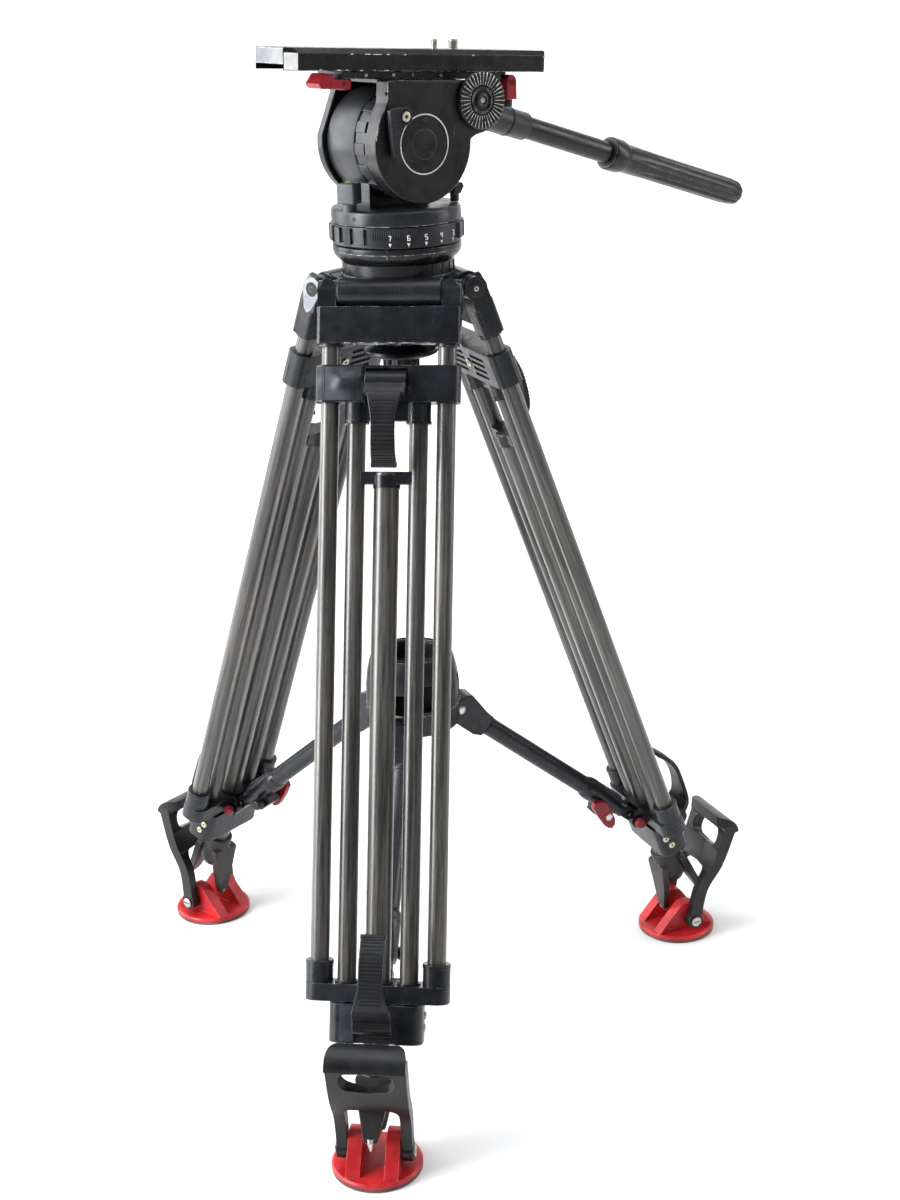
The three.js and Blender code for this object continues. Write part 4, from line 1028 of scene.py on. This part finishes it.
def rosette():
    part = Part("rosette_disc", TILT, "tilt", 0.5)
    x, z = ROSETTE
    part.turned(
        [
            (0, -46.2), (24.2, -46.2), (24.5, -46.8), (24.5, -49.6), (23.8, -50.4), (13, -50.2),
            (12.2, -49), (0, -48.8),
        ],
        "y", (x, 0, z), ANODISED, 72,
    )
    part.done("side_rosette", slot="steel")
    part = Part("rosette_teeth", TILT, "tilt", 0)
    teeth = 36
    for i in range(teeth):
        a = 2 * math.pi * i / teeth
        c, s = math.cos(a), math.sin(a)
        rings = []
        for r, half, up in ((13.2, 0.22, 0.3), (18, 0.32, 0.8), (23.8, 0.44, 1.0)):
            base, tip = -50.1, -50.3 - up * 0.9
            rings.append([(x + r * c - half * s, base, z + r * s + half * c),
                          (x + r * c + half * s, base, z + r * s - half * c),
                          (x + r * c + 0.2 * s, tip, z + r * s - 0.2 * c),
                          (x + r * c - 0.2 * s, tip, z + r * s + 0.2 * c)])
        part.add(rings, ZINC)
    part.done(slot="steel")
    part = Part("rosette_hub", TILT, "tilt", 0.15)
    part.ring(9.6, 11.4, -50.4, -48.6, "y", (x, 0, z), ANODISED, 48)
    part.turned(
        [(0, -48.6), (6.4, -48.6), (6.2, -50.4), (4.6, -51), (3, -50.2), (0, -50)], "y", (x, 0, z), PLASTIC,
        40,
    )
    part.bar(2.2, -50.6, -49, "y", (x, 0, z), STEEL, 20)
    # Three near-black discs on the rosette stand for holes: painted shade.
    for i in range(3):
        a = math.radians(40 + 120 * i)
        part.bar(1.7, -51, -49.4, "y", (x + 17 * math.cos(a), 0, z + 17 * math.sin(a)), BLACK_AND_SHADE, 16)
    part.done(slot="steel")


def plate_bed():
    part = Part("plate_bed_rail", TILT, "tilt", 0.5, 2)
    part.box((-62, -27, 53.2), (96, 27, 59.2), ANODISED)
    part.prism([(-19.5, 58), (19.5, 58), (22.6, 63.8), (-22.6, 63.8)], -62, 96, "x", ANODISED)
    part.box((-75, -30, 53.2), (-60, -8, 59.2), ANODISED)
    part.box((90, -13.4, 46), (112, -10, 59.2), ANODISED)
    part.done("plate_bed", slot="anodised")
    part = Part("plate_bed_marks", TILT, "tilt", 0)
    part.box((-0.4, -27.1, 54.5), (0.4, -26.9, 58.6), LINE)
    for x in (-48, -20, 30, 72):
        socket_screw(part, "y", -26.9, (x, 0, 56.2), 1.5, STEEL, -1, 0.3)
    part.done(slot="anodised")


def camera_plate():
    """The sliding plate: bevelled top edges, screw slot, dovetail, bare worn end, scale and chips."""
    part = Part("sliding_plate", TILT, "plate", 0.7, 3)
    front, rear, half, bottom, top = -126.5, 143.2, 31, 59.5, 78
    outline = [
        (front, -half + 9.3), (front + 9.3, -half), (rear - 2, -half), (rear, -half + 2), (rear, half - 2),
        (rear - 2, half), (front + 9.3, half), (front, half - 9.3),
    ]
    part.prism(outline, bottom, top, "z", PLATE_PAINT)
    for s in SIDES:
        corner = [(s * 26.8, top + 1), (s * 32, top + 1), (s * 32, top - 4.6), (s * (half + 0.01), top - 4.6)]
        part.cut(lambda t, corner=corner: t.prism(corner, front - 1, rear + 1, "x", PLATE_PAINT))
    part.cut(
        lambda t: t.prism([(-20, 58), (20, 58), (23.1, 64.3), (-23.1, 64.3)], front - 1, rear + 1, "x", BLACK_AND_SHADE)
    )
    part.cut(lambda t: t.box((10, -8.8, 60), (112, 8.8, 69.2), BLACK_AND_SHADE))
    part.cut(lambda t: t.box((14, -5.2, 60), (108, 5.2, 80), BLACK_AND_SHADE))
    part.cut(lambda t: [
        t.box((front + 12, s * 12 - 1.2, 77.3), (front + 52, s * 12 + 1.2, 80), BLACK_AND_SHADE) for s in SIDES
    ])
    part.done("camera_plate", slot="anodised")
    part = Part("plate_end_wear", TILT, "plate", 0.35, 2)
    part.prism(
        [(-21.4, 64.6), (21.4, 64.6), (21.4, 77.2), (-21.4, 77.2)], front - 0.15, front + 0.6, "x", BARE,
    )
    for s in SIDES:
        rings = []
        for z in (60.2, 73.6):
            rings.append([(front + 0.6, s * 22.4, z), (front + 8.9, s * 30.7, z), (front + 8.6, s * 31.0, z),
                          (front + 0.3, s * 22.7, z)])
        part.add(rings, CHIP)
    part.done(slot="anodised")
    part = Part("plate_scale", TILT, "plate", 0)
    for i in range(27):
        x = -2 + 3.4 * i
        tall = 3.4 if i % 3 == 0 else 1.8
        part.box((x - 0.2, -half - 0.02, 61.5), (x + 0.2, -half + 0.1, 61.5 + tall), FAINT)
    chips = (
        (-80, 4, 60.2), (-71, 2.4, 60.4), (-57, 3.2, 60.1), (-43, 1.8, 60.4), (-32, 4.4, 60.2),
        (-97, 2.2, 60.5), (-66, 2, 73.1), (-52, 5.5, 73.2), (-44, 9, 73.1), (-30, 3, 73.2), (-12, 2, 73.2),
        (139.4, 3.6, 72.4), (140.4, 2.4, 61), (60, 2.6, 73.2),
    )
    for x, length, z in chips:
        part.box((x, -half - 0.02, z - 0.4), (x + length, -half + 0.1, z + 0.35), CHIP)
    # Near-black discs on the plate's top stand for holes: painted shade.
    for x in (-94, -66, -34, 124):
        part.bar(2.2, 77.6, 78.0, "z", (x, 0, 0), BLACK_AND_SHADE, 24)
    part.done(slot="anodised")


def camera_screw(name, node, body, x, thread):
    part = Part(name, TILT, body, 0.12)
    part.bar(8, 64.8, 68.6, "z", (x, 0, 0), STEEL, 40)
    part.bar(thread * 0.7, 68, 80, "z", (x, 0, 0), STEEL, 24)
    profile = [(0, 78.6), (thread, 78.6)]
    turns = 8
    for i in range(turns):
        z = 79 + i * 7 / turns
        profile += [(thread, z), (thread * 0.86, z + 3.5 / turns)]
    profile += [(thread * 0.9, 86.1), (thread * 0.75, 86.5), (0, 86.5)]
    part.turned(profile, "z", (x, 0, 0), STEEL, 32)
    part.done(node, slot="steel")


def plate_levers():
    part = Part("clamp_lever_red", TILT, "clamp_lever", 1.1, 3)
    part.bar(7.4, 44.2, 52.8, "z", (-66.5, -19, 0), RED, 40)
    part.prism(
        [(-66, 52.8), (-66, 46), (-80, 45), (-94, 45), (-97, 48.5), (-91, 57.3), (-82, 57.3), (-81.5, 52.8)],
        -30, -8, "y", RED,
    )
    part.done("plate_clamp_lever", slot="red")
    part = Part("clamp_lever_screw", TILT, "clamp_lever", 0.1)
    part.bar(3, 43.9, 45, "z", (-66.5, -19, 0), STEEL, 28)
    # A near-black disc on the lever stands for a hole: painted shade.
    part.bar(1.6, -30.3, -29, "y", (-72, 0, 49), BLACK_AND_SHADE, 20)
    part.done(slot="steel")
    part = Part("release_catch_red", TILT, "release_lever", 1.2, 3)
    part.bar(4.8, -29.9, -13.9, "y", (106, 0, 52.4), RED, 32)
    part.prism([(101, 53.6), (111.3, 53.6), (112.4, 36), (101, 36)], -29.9, -13.9, "y", RED)
    part.turned(
        [(0, 29), (4.8, 29), (5.6, 30.2), (5.6, 36.4), (4.8, 37), (0, 37)], "z", (106.5, -22, 0), PLASTIC,
        32,
    )
    part.done("plate_release_lever", slot="red")


# ---- pan arm ----
def pan_arm():
    part = Part("arm_clamp_casting", PAN_ARM, "arm_mount", 1.0, 3)
    part.turned([(0, 47.2), (21, 47.2), (21.5, 48), (21.5, 55), (20.4, 56), (0, 56)], "y", ZERO, PLASTIC, 72)
    part.box((-13, 52, -10), (24, ARM_AXIS[1], 22), PLASTIC)
    part.turned(
        [
            (0, 0), (12.6, 0), (14, 1.6), (14, 110), (13.4, 112), (13.4, 134.6), (12.6, 136), (10.9, 136),
            (10.9, 134), (0, 134),
        ],
        "x", ARM_AXIS, PLASTIC, 64,
    )
    part.done("pan_arm_clamp", slot="plastic")
    part = Part("arm_clamp_trim", PAN_ARM, "arm_mount", 0.2)
    part.ring(13.7, 14.25, 111, 113, "x", ARM_AXIS, BLACK_AND_SHADE, 48)
    socket_screw(part, "y", 64.6, (2, 0, -1), 4.2, STEEL, 1, 0.6)
    part.done(slot="plastic")
    part = Part("arm_tube", PAN_ARM, "arm_slide", 0.4)
    part.bar(10.8, 100, 262, "x", ARM_AXIS, ANODISED, 64)
    part.done("pan_arm_rod", slot="anodised")
    part = Part("arm_grip_rubber", PAN_ARM, "arm_slide", 0.6, 3)
    stations = (
        (246, 15.2, 0), (247, 16.2, 0), (249, 16.6, 0), (261, 16.6, 0), (266, 15.2, 0), (269, 14.6, 0),
        (290, 14.1, 0), (302, 13.9, 1.0), (316, 13.8, 1.9), (418, 13.8, 1.9), (430, 12.9, 1.7),
        (434, 11.6, 1.2), (436, 10.4, 0.8),
    )
    rings = []
    for x, r, depth in stations:
        ring = []
        for i in range(128):
            a = 2 * math.pi * i / 128
            groove = max(0.0, math.cos(8 * a)) ** 2.2
            q = r - depth * groove
            ring.append((x, ARM_AXIS[1] + q * math.cos(a), ARM_AXIS[2] + q * math.sin(a)))
        rings.append(ring)
    part.add(rings, GRIP)
    part.done("pan_arm_grip", slot="rubber")
    part = Part("arm_grip_end", PAN_ARM, "arm_slide", 0.15)
    part.ring(10.9, 13.6, 245.6, 246.4, "x", ARM_AXIS, BLACK_AND_SHADE, 48)
    part.done(slot="rubber")


def build():
    crown()
    hub()
    for k, (azimuth, lean) in enumerate(zip(LEG_AZIMUTHS, HANDLE_LEAN), 1):
        make_leg(k, azimuth, lean)
    head_base()
    bowl_knob()
    drag_ring()
    pan_unit()
    pan_brake()
    tilt_unit()
    tilt_ring()
    tilt_brake()
    rosette()
    plate_bed()
    camera_plate()
    camera_screw("screw_quarter", "camera_screw_small", "screw_small", 41.6, 3.2)
    camera_screw("screw_three_eighths", "camera_screw_large", "screw_large", 62.1, 4.7)
    plate_levers()
    pan_arm()


# ---- stage, light and camera ----
def floor():
    m = Nodes("floor_paper", Roughness=0.75)
    m.colour(m.mix(m.spread(m.noise(1.5), 0.3, 0.7), (0.8, 0.8, 0.8), (0.84, 0.84, 0.84)))
    bm = bmesh.new()
    start, bend = 2.2, 1.2
    sweep = [math.radians(a) for a in range(10, 91, 10)]
    profile = [(-6, 0), (start, 0)]
    profile += [(start + bend * math.sin(a), bend - bend * math.cos(a)) for a in sweep]
    profile += [(start + bend, 6)]
    rows = [[bm.verts.new((x, y, z)) for y, z in profile] for x in (-8, 8)]
    for i in range(len(profile) - 1):
        f = bm.faces.new((rows[0][i], rows[1][i], rows[1][i + 1], rows[0][i + 1]))
        f.smooth = True
    data = bpy.data.meshes.new("floor")
    bm.to_mesh(data)
    bm.free()
    data.materials.append(m.material)
    o = bpy.data.objects.new("floor", data)
    bpy.context.scene.collection.objects.link(o)


def area(name, place, target, size, power, tone=(1, 1, 1)):
    data = bpy.data.lights.new(name, "AREA")
    data.shape, data.energy, data.color = "RECTANGLE", power, tone
    data.size, data.size_y = size
    o = bpy.data.objects.new(name, data)
    o.location = place
    o.rotation_euler = (Vector(target) - Vector(place)).to_track_quat("-Z", "Y").to_euler()
    bpy.context.scene.collection.objects.link(o)


def studio():
    world = bpy.data.worlds.new("studio")
    world.use_nodes = True
    tree = world.node_tree
    background = tree.nodes["Background"]
    background.inputs["Color"].default_value = (0.95, 0.97, 1, 1)
    place = tree.nodes.new("ShaderNodeTexCoord")
    axes = tree.nodes.new("ShaderNodeSeparateXYZ")
    depth = tree.nodes.new("ShaderNodeMapRange")
    tree.links.new(place.outputs["Generated"], axes.inputs["Vector"])
    tree.links.new(axes.outputs["Y"], depth.inputs["Value"])
    for socket, value in (("From Min", -0.9), ("From Max", 0.7), ("To Min", 0.17), ("To Max", 0.7)):
        depth.inputs[socket].default_value = value
    tree.links.new(depth.outputs["Result"], background.inputs["Strength"])
    bpy.context.scene.world = world
    bpy.context.scene.view_settings.view_transform = "Standard"
    area("window", (-2.3, -1.2, 1.5), (0, 0, 0.5), (1.1, 2.6), 145, (0.97, 0.985, 1))
    area("side window", (-2.4, 0.6, 1.3), (0, 0, 0.6), (1.2, 2.2), 46, (0.97, 0.985, 1))
    area("top", (0.2, 0.1, 3.2), (0, 0.1, 0), (2.8, 2.8), 55)
    area("right", (2.4, 0.5, 1.5), (0, 0, 0.5), (0.5, 2.2), 22)
    area("wall", (0, 1.6, 2.8), (0, 3.6, 1.4), (4, 1.5), 60)


CAMERA = Vector((0.25557, -1.64989, 1.00732))
YAW, PITCH, ROLL = (math.radians(a) for a in (-7.49, 19.39, -1.56))
FOCAL_SHARE = 1860.24 / 1200
SENSOR = 36


def camera():
    forward = Vector((math.sin(YAW) * math.cos(PITCH), math.cos(YAW) * math.cos(PITCH), -math.sin(PITCH)))
    right = Vector((math.cos(YAW), -math.sin(YAW), 0))
    up = right.cross(forward)
    right2 = right * math.cos(ROLL) + up * math.sin(ROLL)
    up2 = up * math.cos(ROLL) - right * math.sin(ROLL)
    data = bpy.data.cameras.new("camera")
    data.sensor_width = SENSOR
    data.lens = FOCAL_SHARE * SENSOR
    o = bpy.data.objects.new("camera", data)
    place = CAMERA + AXIS
    o.matrix_world = Matrix((
        (right2.x, up2.x, -forward.x, place.x),
        (right2.y, up2.y, -forward.y, place.y),
        (right2.z, up2.z, -forward.z, place.z),
        (0, 0, 0, 1),
    ))
    bpy.context.scene.collection.objects.link(o)
    bpy.context.scene.camera = o


build()
floor()
studio()
camera()
